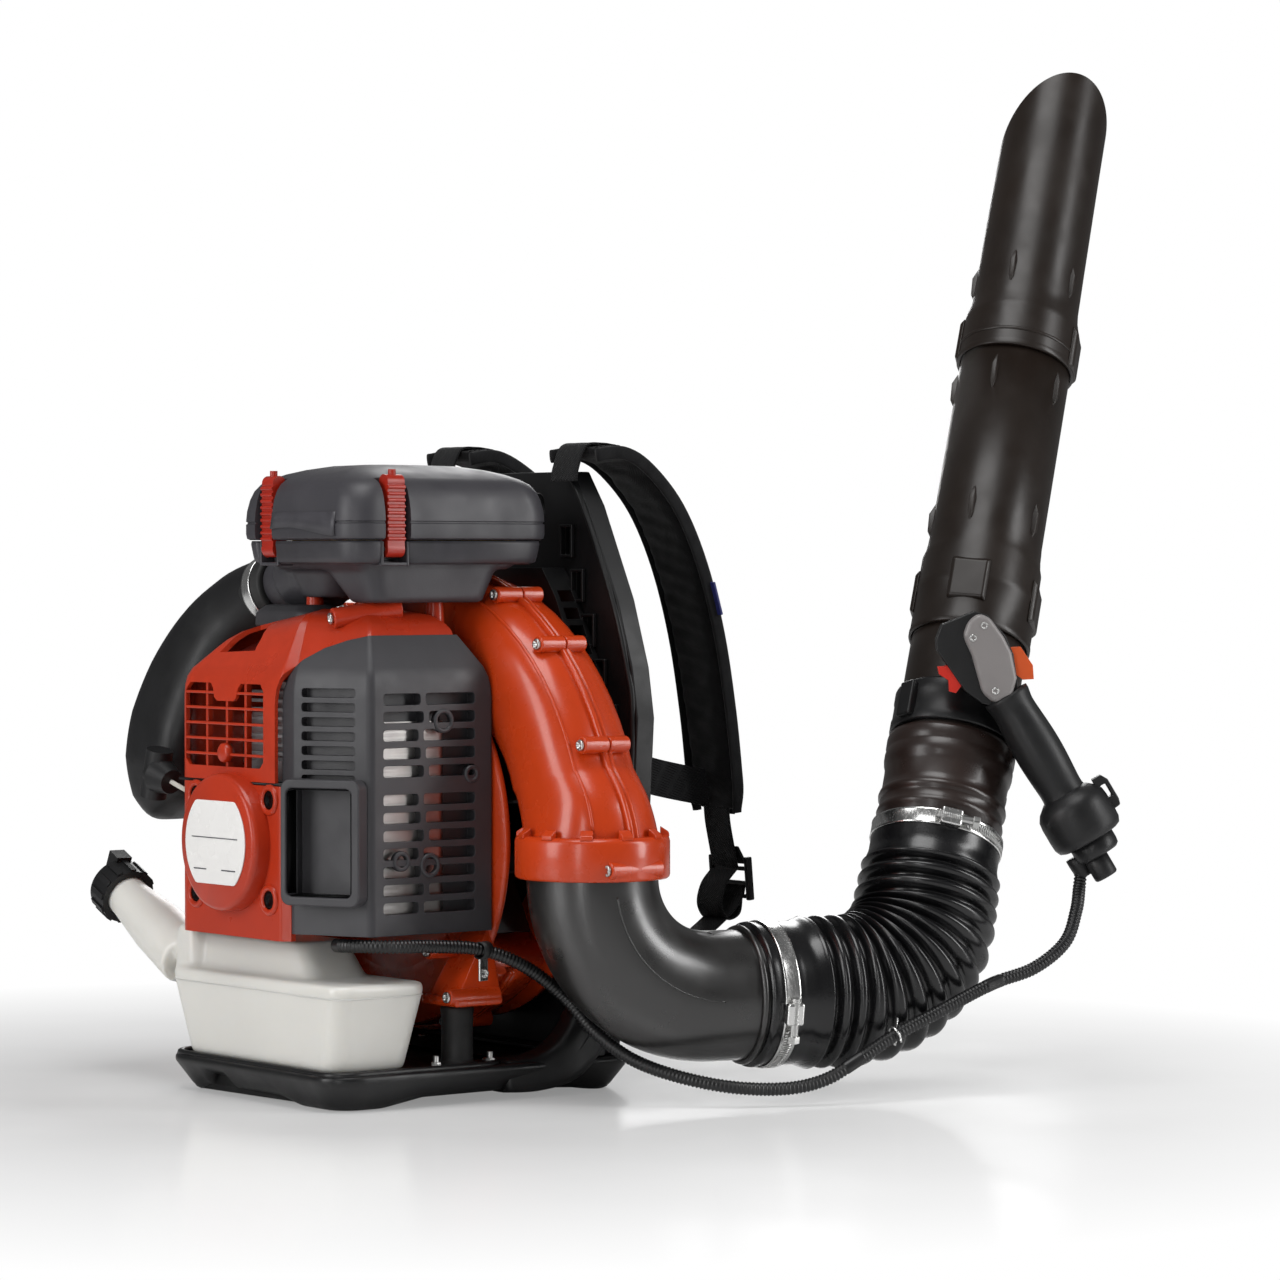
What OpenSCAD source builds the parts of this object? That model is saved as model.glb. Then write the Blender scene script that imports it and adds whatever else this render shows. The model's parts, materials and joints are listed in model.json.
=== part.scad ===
// Backpack leaf blower standing on its base skid.
// X points to the wearer's right, Y points to the wearer's back, Z points up.
// The origin is the centre of the footprint, on the floor.

/* [Stance] */
// Width of the base skid across the front
base_w = 250; // [236:2:264]
// Thickness of the base skid
base_h = 28; // [24:1:29]
// Height of the top of the back frame above the floor
frame_top = 497; // [485:1:505]
// Half width of the back frame at its widest
frame_half_w = 165; // [158:1:170]

/* [Engine] */
// Sideways place of the crankshaft axis
crank_x = -20; // [-24:1:-16]
// Height of the crankshaft axis
crank_z = 203; // [202:1:205]
// Depth of the cylinder axis behind the origin
cyl_y = -70; // [-71:1:-69]
// Cylinder bore
bore_d = 46; // [44:0.5:48]
// Piston stroke
stroke = 34; // [30:1:36]
// Number of cooling fins on the cylinder
fin_count = 10; // [6:1:10]

/* [Fan] */
// Middle plane of the fan housing
fan_y = 46; // [46:1:47]
// Width of the fan housing
fan_w = 84; // [80:1:84]
// Radius of the fan housing where the scroll starts
scroll_r = 150; // [148:1:152]
// Number of blades on the fan
blade_count = 14; // [8:1:18]
// Sideways place of the outlet
outlet_x = 193; // [192:1:194]
// Outside diameter of the elbow
pipe_d = 104; // [102:1:106]

/* [Hose and tubes] */
// Direction of the elbow's outlet, turned from +X towards +Y
hose_heading = 73.9; // [72:0.1:76]
// Lean of the blower tube away from vertical
tube_lean = 27.2; // [24:0.1:30]
// Direction in which the blower tube leans, turned from +X towards +Y
tube_heading = 118.8; // [114:0.1:122]
// Radius of the bend in the bellows
bellows_bend_r = 85; // [80:1:90]
// Outside diameter of the bellows folds
bellows_d = 122; // [118:1:124]
// Outside diameter of the lower blower tube
tube_d = 96; // [94:0.5:97]
// Length of the tubes from the upper clamp to the tip
tube_len = 716; // [700:2:760]

/* [Handle] */
// Diameter of the handle grip
grip_d = 35; // [32:1:38]

/* [Hidden] */
$fn = 64;

big = 1000;
wall = 3;
slip = 0.05;

volute_y0 = fan_y - fan_w / 2;
volute_y1 = fan_y + fan_w / 2;
elbow_r = 96;
collar_z0 = 178;
hose_leg = 129;
cuff_len = 50;
rod_len = 62;
crank_throw = stroke / 2;
pin_z = crank_z + crank_throw + rod_len;

// Unit vector that leans away from vertical towards a heading
function aim(lean, heading) =
    [sin(lean) * cos(heading), sin(lean) * sin(heading), cos(lean)];

hose_dir = aim(90, hose_heading);
tube_dir = aim(tube_lean, tube_heading);
elbow_end = [outlet_x, fan_y, collar_z0 - elbow_r] + elbow_r * hose_dir;
hose_start = elbow_end + cuff_len * hose_dir;
hose_corner = hose_start + hose_leg * hose_dir;
tube_base = hose_corner + hose_leg * tube_dir;
hose_bend = acos(hose_dir * tube_dir);
bend_dir = (tube_dir - cos(hose_bend) * hose_dir) / sin(hose_bend);
bend_start = hose_corner - bellows_bend_r * tan(hose_bend / 2) * hose_dir;
// Turn about the hose that points the bend towards the tube
bend_roll = atan2(bend_dir * [-sin(hose_heading), cos(hose_heading), 0], -bend_dir.z);

handle_base = [322, 438, 223];
handle_lean = 30.5;
handle_heading = 230.5;

// Outline of the back frame: half widths and heights from the top down
frame_side = [
    [80, frame_top], [100, 470], [139, 394], [158, 340], [frame_half_w, 300],
    [158, 200], [136, 130], [127, 62], [118, base_h]
];
function mirrored(side) = concat(side, [for (i = [len(side) - 1:-1:0]) [-side[i].x, side[i].y]]);

// Radius of the scroll, where turn runs from 0 at the tongue to 1 near the outlet
function scroll(turn, inset) = scroll_r - inset + 92 * pow(turn, 1.35);
function on_circle(r, a) = [crank_x + r * cos(a), crank_z + r * sin(a)];

// Closed outline of the scroll, drawn inset from its outer wall
function scroll_outline(inset) = concat(
    [for (i = [0:40]) on_circle(scroll(i / 40, inset), -45 - 300 * i / 40)],
    [[outlet_x + 58 - inset, crank_z + 12], [outlet_x + 58 - inset, crank_z]],
    [for (a = [0:-15:-30]) on_circle(scroll_r - inset, a)]
);

module box(x0, x1, y0, y1, z0, z1) {
    translate([x0, y0, z0])
        cube([x1 - x0, y1 - y0, z1 - z0]);
}

// Upright block with rounded vertical edges
module rounded_block(x0, x1, y0, y1, z0, z1, r) {
    box(x0 + r, x1 - r, y0, y1, z0, z1);
    box(x0, x1, y0 + r, y1 - r, z0, z1);
    for (x = [x0 + r, x1 - r], y = [y0 + r, y1 - r])
        translate([x, y, z0])
            cylinder(r = r, h = z1 - z0);
}

// Block with rounded edges that run along Y
module rounded_front(x0, x1, y0, y1, z0, z1, r) {
    box(x0 + r, x1 - r, y0, y1, z0, z1);
    box(x0, x1, y0, y1, z0 + r, z1 - r);
    for (x = [x0 + r, x1 - r], z = [z0 + r, z1 - r])
        rod_y(x, z, 2 * r, y0, y1);
}

// Round bar along Y
module rod_y(x, z, d, y0, y1) {
    translate([x, y1, z])
        rotate([90, 0, 0])
            cylinder(d = d, h = y1 - y0);
}

// Round bar along X
module rod_x(y, z, d, x0, x1) {
    translate([x0, y, z])
        rotate([0, 90, 0])
            cylinder(d = d, h = x1 - x0);
}

// Round bar along Y on the crankshaft axis
module crank_rod(d, y0, y1) {
    rod_y(crank_x, crank_z, d, y0, y1);
}

// Outline drawn in X and Z, made thick along Y
module plate_y(points, y0, y1) {
    translate([0, y1, 0])
        rotate([90, 0, 0])
            linear_extrude(y1 - y0)
                polygon(points);
}

// Outline drawn in Y and Z, made thick along X
module plate_x(points, x0, x1) {
    translate([x0, 0, 0])
        rotate([90, 0, 90])
            linear_extrude(x1 - x0)
                polygon(points);
}

module ring(outer_d, inner_d, z0, z1) {
    translate([0, 0, z0])
        difference() {
            cylinder(d = outer_d, h = z1 - z0);
            translate([0, 0, -1])
                cylinder(d = inner_d, h = z1 - z0 + 2);
        }
}

// Frame whose Z axis runs along the elbow's outlet, at the lower clamp
module at_hose_start() {
    translate(hose_start)
        rotate([0, 90, hose_heading])
            rotate([0, 0, bend_roll])
                children();
}

// Frame whose Z axis runs up the blower tube, at the upper clamp
module at_tube() {
    translate(tube_base)
        rotate([0, tube_lean, tube_heading])
            children();
}

// Frame whose Z axis runs up the handle grip
module at_handle() {
    translate(handle_base)
        rotate([0, handle_lean, handle_heading])
            rotate([0, 0, 180])
                children();
}

// Small wedge that stands on a tube's wall
module tube_tooth(r, z) {
    translate([r - 1.5, 2.5, z])
        rotate([90, 0, 0])
            linear_extrude(5)
                polygon([[0, 0], [4, 6], [5, 24], [0, 34]]);
}

module tooth_row(r, z, count) {
    for (i = [0:count - 1])
        rotate([0, 0, 360 * (i + 0.5) / count])
            tube_tooth(r, z);
}

// Worm-drive hose clamp: band, screw housing and screw
module worm_clamp(d) {
    difference() {
        union() {
            ring(d + 1.6, d, -6, 6);
            translate([-d / 2 - 9, -12, -7])
                cube([9, 24, 14]);
            translate([-d / 2 - 5, 18, 0])
                rotate([90, 0, 0])
                    cylinder(d = 7, h = 36);
        }
        translate([0, 0, -big / 2])
            cylinder(d = d, h = big);
    }
}

// --- Base, frame and harness ---

skid_screw_x = [-90, 90];
skid_screw_y = [20, 84];

module base_skid() {
    color("#1d1d1f")
        difference() {
            rounded_block(-base_w / 2, base_w / 2, -150, 155, 0, base_h, 26);
            box(-72, -34, -151, -138, -1, 11);
            box(-40, 40, 120, 156, -1, 10);
            for (x = skid_screw_x, y = skid_screw_y)
                translate([x, y, base_h - 6])
                    cylinder(d = 8, h = 7);
        }
}

module back_frame() {
    color("#222224") {
        difference() {
            plate_y(mirrored(frame_side), 112, 130);
            // Carrying handle window
            rounded_front(-42, 42, 111, 131, 455, 480, 10);
            // Slots that step down both side flanges
            for (side = [-1, 1], i = [0:4])
                box(side * (76 + 14.5 * i) - 6, side * (76 + 14.5 * i) + 6, 111, 126,
                    430 - 36 * i, 452 - 36 * i);
            // Pocket that leaves a ribbed panel behind the pad
            for (i = [0:3])
                box(-70, 70, 111, 124, 110 + 80 * i, 176 + 80 * i);
        }
        // Feet that join the frame to the skid
        for (side = [-1, 1])
            plate_x([[60, base_h], [112, base_h], [112, 120], [104, 96], [84, 52]],
                side < 0 ? -124 : 112.5, side < 0 ? -112.5 : 124);
    }
}

module back_pad() {
    color("#141416")
        rounded_front(-61, 61, 130.3, 150, 140, 430, 30);
}

// Ribbon drawn along a path in Y and Z, thickened to both sides
function path_normal(p, i) =
    let (a = p[max(i - 1, 0)], b = p[min(i + 1, len(p) - 1)], d = (b - a) / norm(b - a))
        [-d.y, d.x];
function ribbon(p, t) = concat(
    [for (i = [0:len(p) - 1]) p[i] + path_normal(p, i) * t / 2],
    [for (i = [len(p) - 1:-1:0]) p[i] - path_normal(p, i) * t / 2]
);

pad_path_right = [
    [106, 509], [134, 511], [160, 498], [190, 467], [214, 421], [232, 364],
    [244, 301], [251, 246], [254, 218]
];
pad_path_left = [
    [106, 509], [134, 511], [166, 496], [205, 466], [238, 424], [260, 370],
    [264, 310], [253, 250], [238, 214]
];
pad_t = 15;
pad_half = 33;
strap_x = [-82, 90];

module shoulder_pads() {
    color("#121214") {
        plate_x(ribbon(pad_path_left, pad_t), strap_x[0] - pad_half, strap_x[0] + pad_half);
        plate_x(ribbon(pad_path_right, pad_t), strap_x[1] - pad_half, strap_x[1] + pad_half);
    }
}

webbing_w = 38;
web_t = 2.4;

module harness_webbing() {
    color("#0e0e10")
        for (x = strap_x)
            for (p = [
                    [[131.5, 493], [131.5, 482], [135, 470], [131.5, 454]],
                    [[131.5, 262], [150, 256], [190, 244], [218, 240]],
                    [[236, 209], [238, 196], [248, 178], [262, 168]],
                    [[276, 158], [262, 134], [222, 108], [170, 96], [131.5, 92]]
                ])
                plate_x(ribbon(p, web_t), x - webbing_w / 2, x + webbing_w / 2);
}

module harness_buckles() {
    color("#161618")
        for (x = strap_x)
            translate([x, 270, 163])
                rotate([35, 0, 0])
                    difference() {
                        rounded_block(-25, 25, -13, 13, -4, 4, 4);
                        box(-20, 20, -9, -3, -5, 5);
                        box(-20, 20, 3, 9, -5, 5);
                    }
}

// --- Fuel ---

cap_place = [-236, -122, 153];
neck_tilt = -65;

module fuel_tank() {
    color("#e9e9e4")
        difference() {
            union() {
                hull() {
                    rounded_block(-106, 112, -140, -68, 29, 31, 16, $fn = 32);
                    rounded_block(-122, 130, -150, -60, 96, 99, 16, $fn = 32);
                }
                hull() {
                    rounded_block(-122, 60, -150, -96, 92, 99, 16, $fn = 32);
                    rounded_block(-128, 30, -146, -98, 122, 125, 16, $fn = 32);
                }
                translate(cap_place)
                    rotate([0, neck_tilt, 0])
                        translate([0, 0, -128])
                            cylinder(d = 50, h = 108);
                translate(cap_place)
                    rotate([0, neck_tilt, 0])
                        translate([0, 0, -30])
                            cylinder(d = 36, h = 24);
            }
            // Space for the fuel
            hull() {
                rounded_block(-100, 106, -135, -73, 33, 35, 12, $fn = 32);
                rounded_block(-114, 122, -144, -66, 92, 94, 12, $fn = 32);
            }
            // Filler bore
            translate(cap_place)
                rotate([0, neck_tilt, 0])
                    translate([0, 0, -118])
                        cylinder(d = 30, h = 130);
        }
}

module fuel_cap() {
    color("#161616")
        translate(cap_place)
            rotate([0, neck_tilt, 0])
                difference() {
                    union() {
                        translate([0, 0, -16])
                            cylinder(d = 47, h = 22);
                        translate([-27, -7, 2])
                            cube([54, 14, 14]);
                        for (i = [0:11])
                            rotate([0, 0, 30 * i])
                                translate([22, -2.5, -15])
                                    cube([3, 5, 18]);
                    }
                    translate([0, 0, -17])
                        cylinder(d = 36.6, h = 16);
                }
}

module fuel_pickup() {
    color("#8a6a3a") {
        translate([40, -100, 40])
            cylinder(d = 18, h = 26);
        translate([40, -100, 66])
            cylinder(d = 6, h = 25.5);
    }
}

// --- Engine covers ---

starter_y = -150;

module starter_cover() {
    color("#c83a22") {
        difference() {
            union() {
                rounded_front(-102, 53, starter_y, -117, 128, 250, 14);
                crank_rod(107, starter_y - 15, starter_y);
            }
            // Space for the pulley and rope
            rounded_front(-98, 49, starter_y + wall, -116, 132, 246, 11);
            // Screw recesses round the boss
            for (a = [45:90:315])
                rod_y(crank_x + 66 * cos(a), crank_z + 66 * sin(a) * 0.86, 12,
                    starter_y - 16, starter_y + 2);
            // Rope hole
            rod_x(rope_y, 240, 9, -104, -86);
        }
        crank_rod(14, starter_y + 2, -133);
    }
}

module starter_badge() {
    color("#e6e4e0")
        intersection() {
            crank_rod(88, starter_y - 17, starter_y - 15);
            box(crank_x - 44, crank_x + 44, -200, 0, crank_z - 38, crank_z + 38);
        }
}

roof_plan = [[-102, -150], [40, -150], [58, -143], [122, -113], [122, 0], [-102, 0]];
roof_inner = [[-99, -147], [40, -147], [57, -140], [119, -111], [119, -3], [-99, -3]];

module top_cover() {
    color("#cf3f24")
        difference() {
            union() {
                translate([0, 0, 341])
                    linear_extrude(28)
                        polygon(roof_plan);
                rounded_front(-102, 40, starter_y, -117, 251, 360, 12);
                box(-102, -99, -140, 0, 262, 345);
            }
            translate([0, 0, 320])
                linear_extrude(46)
                    polygon(roof_inner);
            rounded_front(-99, 37, starter_y + wall, -100, 254, 366, 10);
            // Cooling air opening behind the fins
            rounded_front(-84, 22, starter_y - 1, starter_y + 4, 262, 334, 8);
            // Hole for the carburettor
            box(-103, -98, cyl_y - 24, cyl_y + 32, 255, 312);
        }
    color("#cf3f24") {
        for (i = [0:4])
            box(-85, 23, starter_y + 0.5, starter_y + 4, 272 + 12.5 * i, 276 + 12.5 * i);
        for (x = [-58, -31, -4])
            box(x - 2, x + 2, starter_y + 1, starter_y + 6, 260, 336);
    }
}

grille_plan = [[42, -143], [58, -143], [120, -113], [120, 3.5], [104, 3.5], [104, 0.5], [116.9, 0.5],
    [116.9, -111], [57, -140], [42, -140]];
grille_z = [135, 340];

module grille_cover() {
    color("#4a4b4e")
        difference() {
            union() {
                translate([0, 0, grille_z[0]])
                    linear_extrude(grille_z[1] - grille_z[0])
                        polygon(grille_plan);
                translate([0, 0, grille_z[0]])
                    linear_extrude(3)
                        polygon([[57, -142], [120, -111], [120, 3.5], [57, 3.5]]);
            }
            // Rows of slots on the side wall, with a bar between two banks
            for (i = [0:14], bank = [0, 1])
                box(115, 121, bank == 0 ? -98 : -68, bank == 0 ? -72 : -10,
                    150 + 12 * i, 157.5 + 12 * i);
            // Rows of slots on the slanted wall above the exhaust
            translate([58, -143, 0])
                rotate([0, 0, 25.8])
                    for (i = [0:6])
                        box(2, 62, -2, 6, 264 + 11 * i, 271 + 11 * i);
            // Room for the starter cover
            box(41, 53.2, -144, -139, 134, 250.2);
            // Opening for the exhaust
            translate([58, -143, 0])
                rotate([0, 0, 25.8])
                    box(0, 60, -2, 6, 164, 250);
        }
}

module exhaust_frame() {
    color("#3c3d40")
        translate([58, -143, 0])
            rotate([0, 0, 25.8])
                difference() {
                    rounded_front(-4, 66, -14, -0.1, 158, 256, 8);
                    rounded_front(1, 59, -15, 1, 165, 249, 5);
                }
}

// --- Engine ---

module crankcase() {
    color("#a9abad")
        difference() {
            union() {
                crank_rod(104, -110, -30);
                crank_rod(132, -116, -108);
                crank_rod(150, -30, -24);
                box(crank_x - 38, crank_x + 38, cyl_y - 38, cyl_y + 38, crank_z, crank_z + 57);
            }
            crank_rod(78, -92, -48);
            crank_rod(42, -104, -36);
            crank_rod(24, -117, -23);
            translate([crank_x, cyl_y, crank_z])
                cylinder(d = bore_d + 6, h = 60);
        }
}

fin_z0 = crank_z + 60;

module engine_cylinder() {
    color("#b9bbbe")
        difference() {
            union() {
                translate([crank_x, cyl_y, crank_z + 57])
                    cyl(bore_d + 16, 66);
                for (i = [0:fin_count - 1])
                    box(crank_x - 42, crank_x + 42, cyl_y - 37, cyl_y + 37,
                        fin_z0 + 7 * i, fin_z0 + 2.6 + 7 * i);
                rod_x(cyl_y, 283, 34, crank_x - 46, crank_x);
                rod_x(cyl_y, 283, 34, crank_x, crank_x + 46);
            }
            translate([crank_x, cyl_y, crank_z + 50])
                cyl(bore_d, 60);
            rod_x(cyl_y, 283, 24, crank_x - 47, crank_x - 18);
            rod_x(cyl_y, 283, 24, crank_x + 18, crank_x + 47);
            translate([crank_x, cyl_y, 312])
                cyl(14, 40);
            translate([crank_x, cyl_y, 326])
                cyl(22, 20);
        }
}

module cyl(d, h) {
    linear_extrude(h)
        circle(d = d);
}

module piston() {
    color("#c4c6c8")
        difference() {
            translate([crank_x, cyl_y, pin_z - 9])
                cyl(bore_d - 2 * slip, 26);
            translate([crank_x, cyl_y, pin_z - 10])
                cyl(bore_d - 8, 21);
            rod_y(crank_x, pin_z, 10, -big, big);
            for (z = [pin_z + 7.5, pin_z + 11.5])
                translate([crank_x, cyl_y, z])
                    ring(bore_d + 2, bore_d - 3, 0, 1.5);
        }
}

module piston_pin() {
    color("#8f9194")
        difference() {
            rod_y(crank_x, pin_z, 10, cyl_y - 21, cyl_y + 21);
            rod_y(crank_x, pin_z, 6, -big, big);
        }
}

rod_y0 = cyl_y + 0.5;
rod_y1 = cyl_y + 6.5;

module connecting_rod() {
    color("#7f8184")
        difference() {
            union() {
                rod_y(crank_x, crank_z + crank_throw, 24, rod_y0, rod_y1);
                rod_y(crank_x, pin_z, 16, rod_y0, rod_y1);
                box(crank_x - 4, crank_x + 4, rod_y0, rod_y1, crank_z + crank_throw + 8, pin_z - 6);
            }
            rod_y(crank_x, crank_z + crank_throw, 16, rod_y0 - 1, rod_y1 + 1);
            rod_y(crank_x, pin_z, 10, rod_y0 - 1, rod_y1 + 1);
        }
}

module crankshaft() {
    color("#77797c") {
        crank_rod(20 - 2 * slip, -131, -88);
        crank_rod(70, cyl_y - 19, cyl_y - 7);
        rod_y(crank_x, crank_z + crank_throw, 16, cyl_y - 8, cyl_y - 0.5);
        crank_rod(70, cyl_y + 7, cyl_y + 19);
        crank_rod(20 - 2 * slip, -52, 44);
    }
}

module crank_bearings() {
    color("#9a9c9f")
        for (y = [[-104, -92], [-48, -36]])
            difference() {
                crank_rod(42, y[0], y[1]);
                crank_rod(20, y[0] - 1, y[1] + 1);
            }
}

module flywheel() {
    color("#8c8e91")
        difference() {
            union() {
                crank_rod(110, -14, 0);
                crank_rod(36, -18, 0);
            }
            crank_rod(20, -20, 2);
            for (a = [0:60:300])
                rod_y(crank_x + 34 * cos(a), crank_z + 34 * sin(a), 16, -15, 2);
        }
}

module ignition_coil() {
    color("#2b2b2e") {
        for (x = [-14, 14])
            box(crank_x + x - 5, crank_x + x + 5, -14, -2, 259, 275);
        box(crank_x - 20, crank_x + 20, -16, 0, 275, 300);
    }
}

module spark_plug() {
    color("#d8d8d4") {
        translate([crank_x, cyl_y, 312])
            cyl(14, 14);
        translate([crank_x, cyl_y, 326])
            linear_extrude(9)
                circle(d = 19, $fn = 6);
        translate([crank_x, cyl_y, 335])
            cyl(10, 10);
    }
}

module spark_plug_cap() {
    color("#1a1a1c")
        difference() {
            union() {
                translate([crank_x, cyl_y, 336])
                    cyl(18, 22);
                rod_y(crank_x, 350, 12, cyl_y, cyl_y + 26);
            }
            translate([crank_x, cyl_y, 334])
                cyl(10, 11);
        }
}

muffler_x = [58, 112];

module muffler() {
    color("#8b8a86") {
        difference() {
            rounded_block(muffler_x[0], muffler_x[1], -106, -34, 148, 300, 10);
            rounded_block(muffler_x[0] + 3, muffler_x[1] - 3, -103, -37, 151, 297, 8);
            rod_x(cyl_y, carb_z, 24, 20, 80);
        }
        difference() {
            rod_x(cyl_y, carb_z, 34, crank_x + 46, muffler_x[0] + 1);
            rod_x(cyl_y, carb_z, 24, crank_x + 45, muffler_x[0] + 2);
        }
    }
}

carb_z = 283;

module carburettor() {
    color("#9d9fa2")
        difference() {
            union() {
                box(-82, crank_x - 46, cyl_y - 20, cyl_y + 20, carb_z - 20, carb_z + 20);
                box(-122, -82, cyl_y - 18, cyl_y + 18, carb_z - 22, carb_z + 18);
                rod_x(cyl_y, carb_z, 38, -132, -120);
                rod_y(-102, carb_z, 12, cyl_y + 17, cyl_y + 22);
            }
            rod_x(cyl_y, carb_z, 24, -133, crank_x - 45);
            rod_y(-102, carb_z, 5, cyl_y + 16, cyl_y + 40);
        }
}

// Throttle shaft and lever that the cable pulls
module throttle_lever() {
    color("#6f7174") {
        rod_y(-102, carb_z, 5 - 2 * slip, cyl_y + 17, cyl_y + 28);
        rod_y(-102, carb_z, 12, cyl_y + 24, cyl_y + 27);
        box(-106, -98, cyl_y + 24, cyl_y + 27, carb_z, carb_z + 24);
    }
}

// --- Starter ---

pulley_y = [-146.5, -132.5];

module starter_hub() {
    color("#7b7d80")
        difference() {
            union() {
                crank_rod(44, -130, -124);
                for (side = [-1, 1])
                    box(crank_x + side * 17 - 6, crank_x + side * 17 + 6, -132, -124,
                        crank_z - 4, crank_z + 4);
            }
            crank_rod(20, -131, -110);
        }
}

module starter_pulley() {
    color("#2c2d30")
        difference() {
            union() {
                crank_rod(84, pulley_y[0], pulley_y[0] + 2.5);
                crank_rod(64, pulley_y[0], pulley_y[1]);
                crank_rod(84, pulley_y[1] - 2.5, pulley_y[1]);
            }
            crank_rod(14 + 2 * slip, pulley_y[0] - 1, pulley_y[1] + 1);
        }
}

rope_y = (pulley_y[0] + pulley_y[1]) / 2;
rope_exit = [-104, rope_y, 240];
pull_dir = [-0.965, 0, 0.262];
pull_tilt = -atan2(-pull_dir.x, pull_dir.z);

module starter_rope() {
    color("#d9d4c8") {
        translate([crank_x, rope_y, crank_z])
            rotate([90, 0, 0])
                rotate_extrude()
                    translate([36.8, 0])
                        circle(d = 4);
        rod_x(rope_y, 240, 4, rope_exit.x, crank_x);
        translate(rope_exit)
            rotate([0, pull_tilt, 0])
                cylinder(d = 4, h = 24);
    }
}

module starter_handle() {
    color("#151517")
        translate(rope_exit)
            rotate([0, pull_tilt, 0])
                difference() {
                    union() {
                        translate([0, 0, 22])
                            cylinder(d1 = 20, d2 = 30, h = 18);
                        translate([-20, 0, 46])
                            rotate([0, 90, 0])
                                cylinder(d = 22, h = 40);
                        translate([0, 0, 30])
                            cylinder(d = 24, h = 18);
                    }
                    translate([0, 0, 20])
                        cylinder(d = 5, h = 10);
                }
}

// --- Fan ---

module fan_impeller() {
    color("#2a2b2e")
        difference() {
            union() {
                crank_rod(276, 12, 15);
                crank_rod(40, 10, 44);
                for (i = [0:blade_count - 1])
                    translate([crank_x, 0, crank_z])
                        rotate([0, 360 * i / blade_count, 0])
                            translate([86, 14, 0])
                                rotate([0, 35, 0])
                                    box(-32, 44, 0, 56, -1.3, 1.3);
            }
            crank_rod(20, 9, 45);
        }
}

module volute_shell(y0, y1, face_y0, face_y1) {
    difference() {
        union() {
            plate_y(scroll_outline(0), y0, y1);
            translate([outlet_x, fan_y, collar_z0])
                cyl(pipe_d + 16, 42);
            intersection() {
                translate([outlet_x, fan_y, collar_z0])
                    cyl(pipe_d + 8, 58);
                box(-big, big, y0 - 60, y1 + 60, 0, big);
            }
        }
        plate_y(scroll_outline(wall), face_y0, face_y1);
        translate([outlet_x, fan_y, collar_z0 - 1])
            cyl(pipe_d, 34);
        translate([outlet_x, fan_y, collar_z0 + 20])
            cyl(fan_w - 2 * wall, 34);
    }
}

scroll_boss_angles = [-150, 160, 118, 59, 42, 19, -72];

module scroll_bosses(y0, y1) {
    for (a = scroll_boss_angles) {
        turn = (a > -45 ? 315 - a : -45 - a) / 300;
        p = on_circle(scroll(turn, -2), a);
        rod_y(p.x, p.y, 13, y0, y1);
    }
}

module volute_front() {
    color("#d8441f")
        difference() {
            union() {
                intersection() {
                    volute_shell(volute_y0, volute_y1, volute_y0 + wall, volute_y1 + 1);
                    box(-big, big, -big, fan_y, -big, big);
                }
                difference() {
                    scroll_bosses(fan_y - 24, fan_y);
                    plate_y(scroll_outline(wall), volute_y0 + wall, volute_y1 + 1);
                }
                // Flange ridge along the split
                difference() {
                    plate_y(scroll_outline(-4), fan_y - 4, fan_y);
                    plate_y(scroll_outline(1), -big, big);
                    box(outlet_x - 70, outlet_x + 80, -big, big, 0, 222);
                }
                // Posts that carry the engine
                for (a = [45:90:315])
                    rod_y(crank_x + 66 * cos(a), crank_z + 66 * sin(a), 14, -24, volute_y0 + 1);
                // Foot on the rubber mount
                for (x = [-124, 84]) {
                    box(x, x + 40, -36, volute_y0 + 1, 76, 88);
                    box(x + 4, x + 36, volute_y0 - 6, volute_y0 + 1, 76, 130);
                }
            }
            crank_rod(60, -1, 10);
        }
}

module volute_back() {
    color("#d8441f")
        difference() {
            union() {
                intersection() {
                    volute_shell(volute_y0, volute_y1, volute_y0 - 1, volute_y1 - wall);
                    box(-big, big, fan_y, big, -big, big);
                }
                difference() {
                    scroll_bosses(fan_y, fan_y + 24);
                    plate_y(scroll_outline(wall), volute_y0 - 1, volute_y1 - wall);
                }
            }
            crank_rod(170, volute_y1 - 10, volute_y1 + 1);
        }
}

module intake_grille() {
    color("#1f2022")
        difference() {
            plate_y([for (p = mirrored(frame_side)) [p.x * 0.88, 40 + (p.y - 40) * 0.83]],
                volute_y1 + 0.3, 111.5);
            plate_y([for (p = mirrored(frame_side)) [p.x * 0.83, 50 + (p.y - 50) * 0.79]],
                volute_y1, 112);
            for (i = [0:24])
                box(-big, big, volute_y1 + 5, 107, 56 + 14 * i, 65 + 14 * i);
            // Room for the frame's feet
            for (x = [-126, 112])
                box(x, x + 14, volute_y1, 113, 20, 121);
        }
}

// --- Air filter ---

filter_plan = [[-42, -104], [-30, -120], [92, -120], [110, -102], [110, 52], [100, 62],
    [-32, 62], [-42, 52]];
function inset_plan(plan, d) =
    let (cx = 34, cy = -29)
        [for (p = plan) [p.x + (p.x > cx ? -d : d), p.y + (p.y > cy ? -d : d)]];
seal_z = 441;

// Frame whose Z axis runs out along the intake horn
module at_horn() {
    translate([-28, -60, 418])
        rotate([0, -104, 0])
            children();
}

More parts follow.
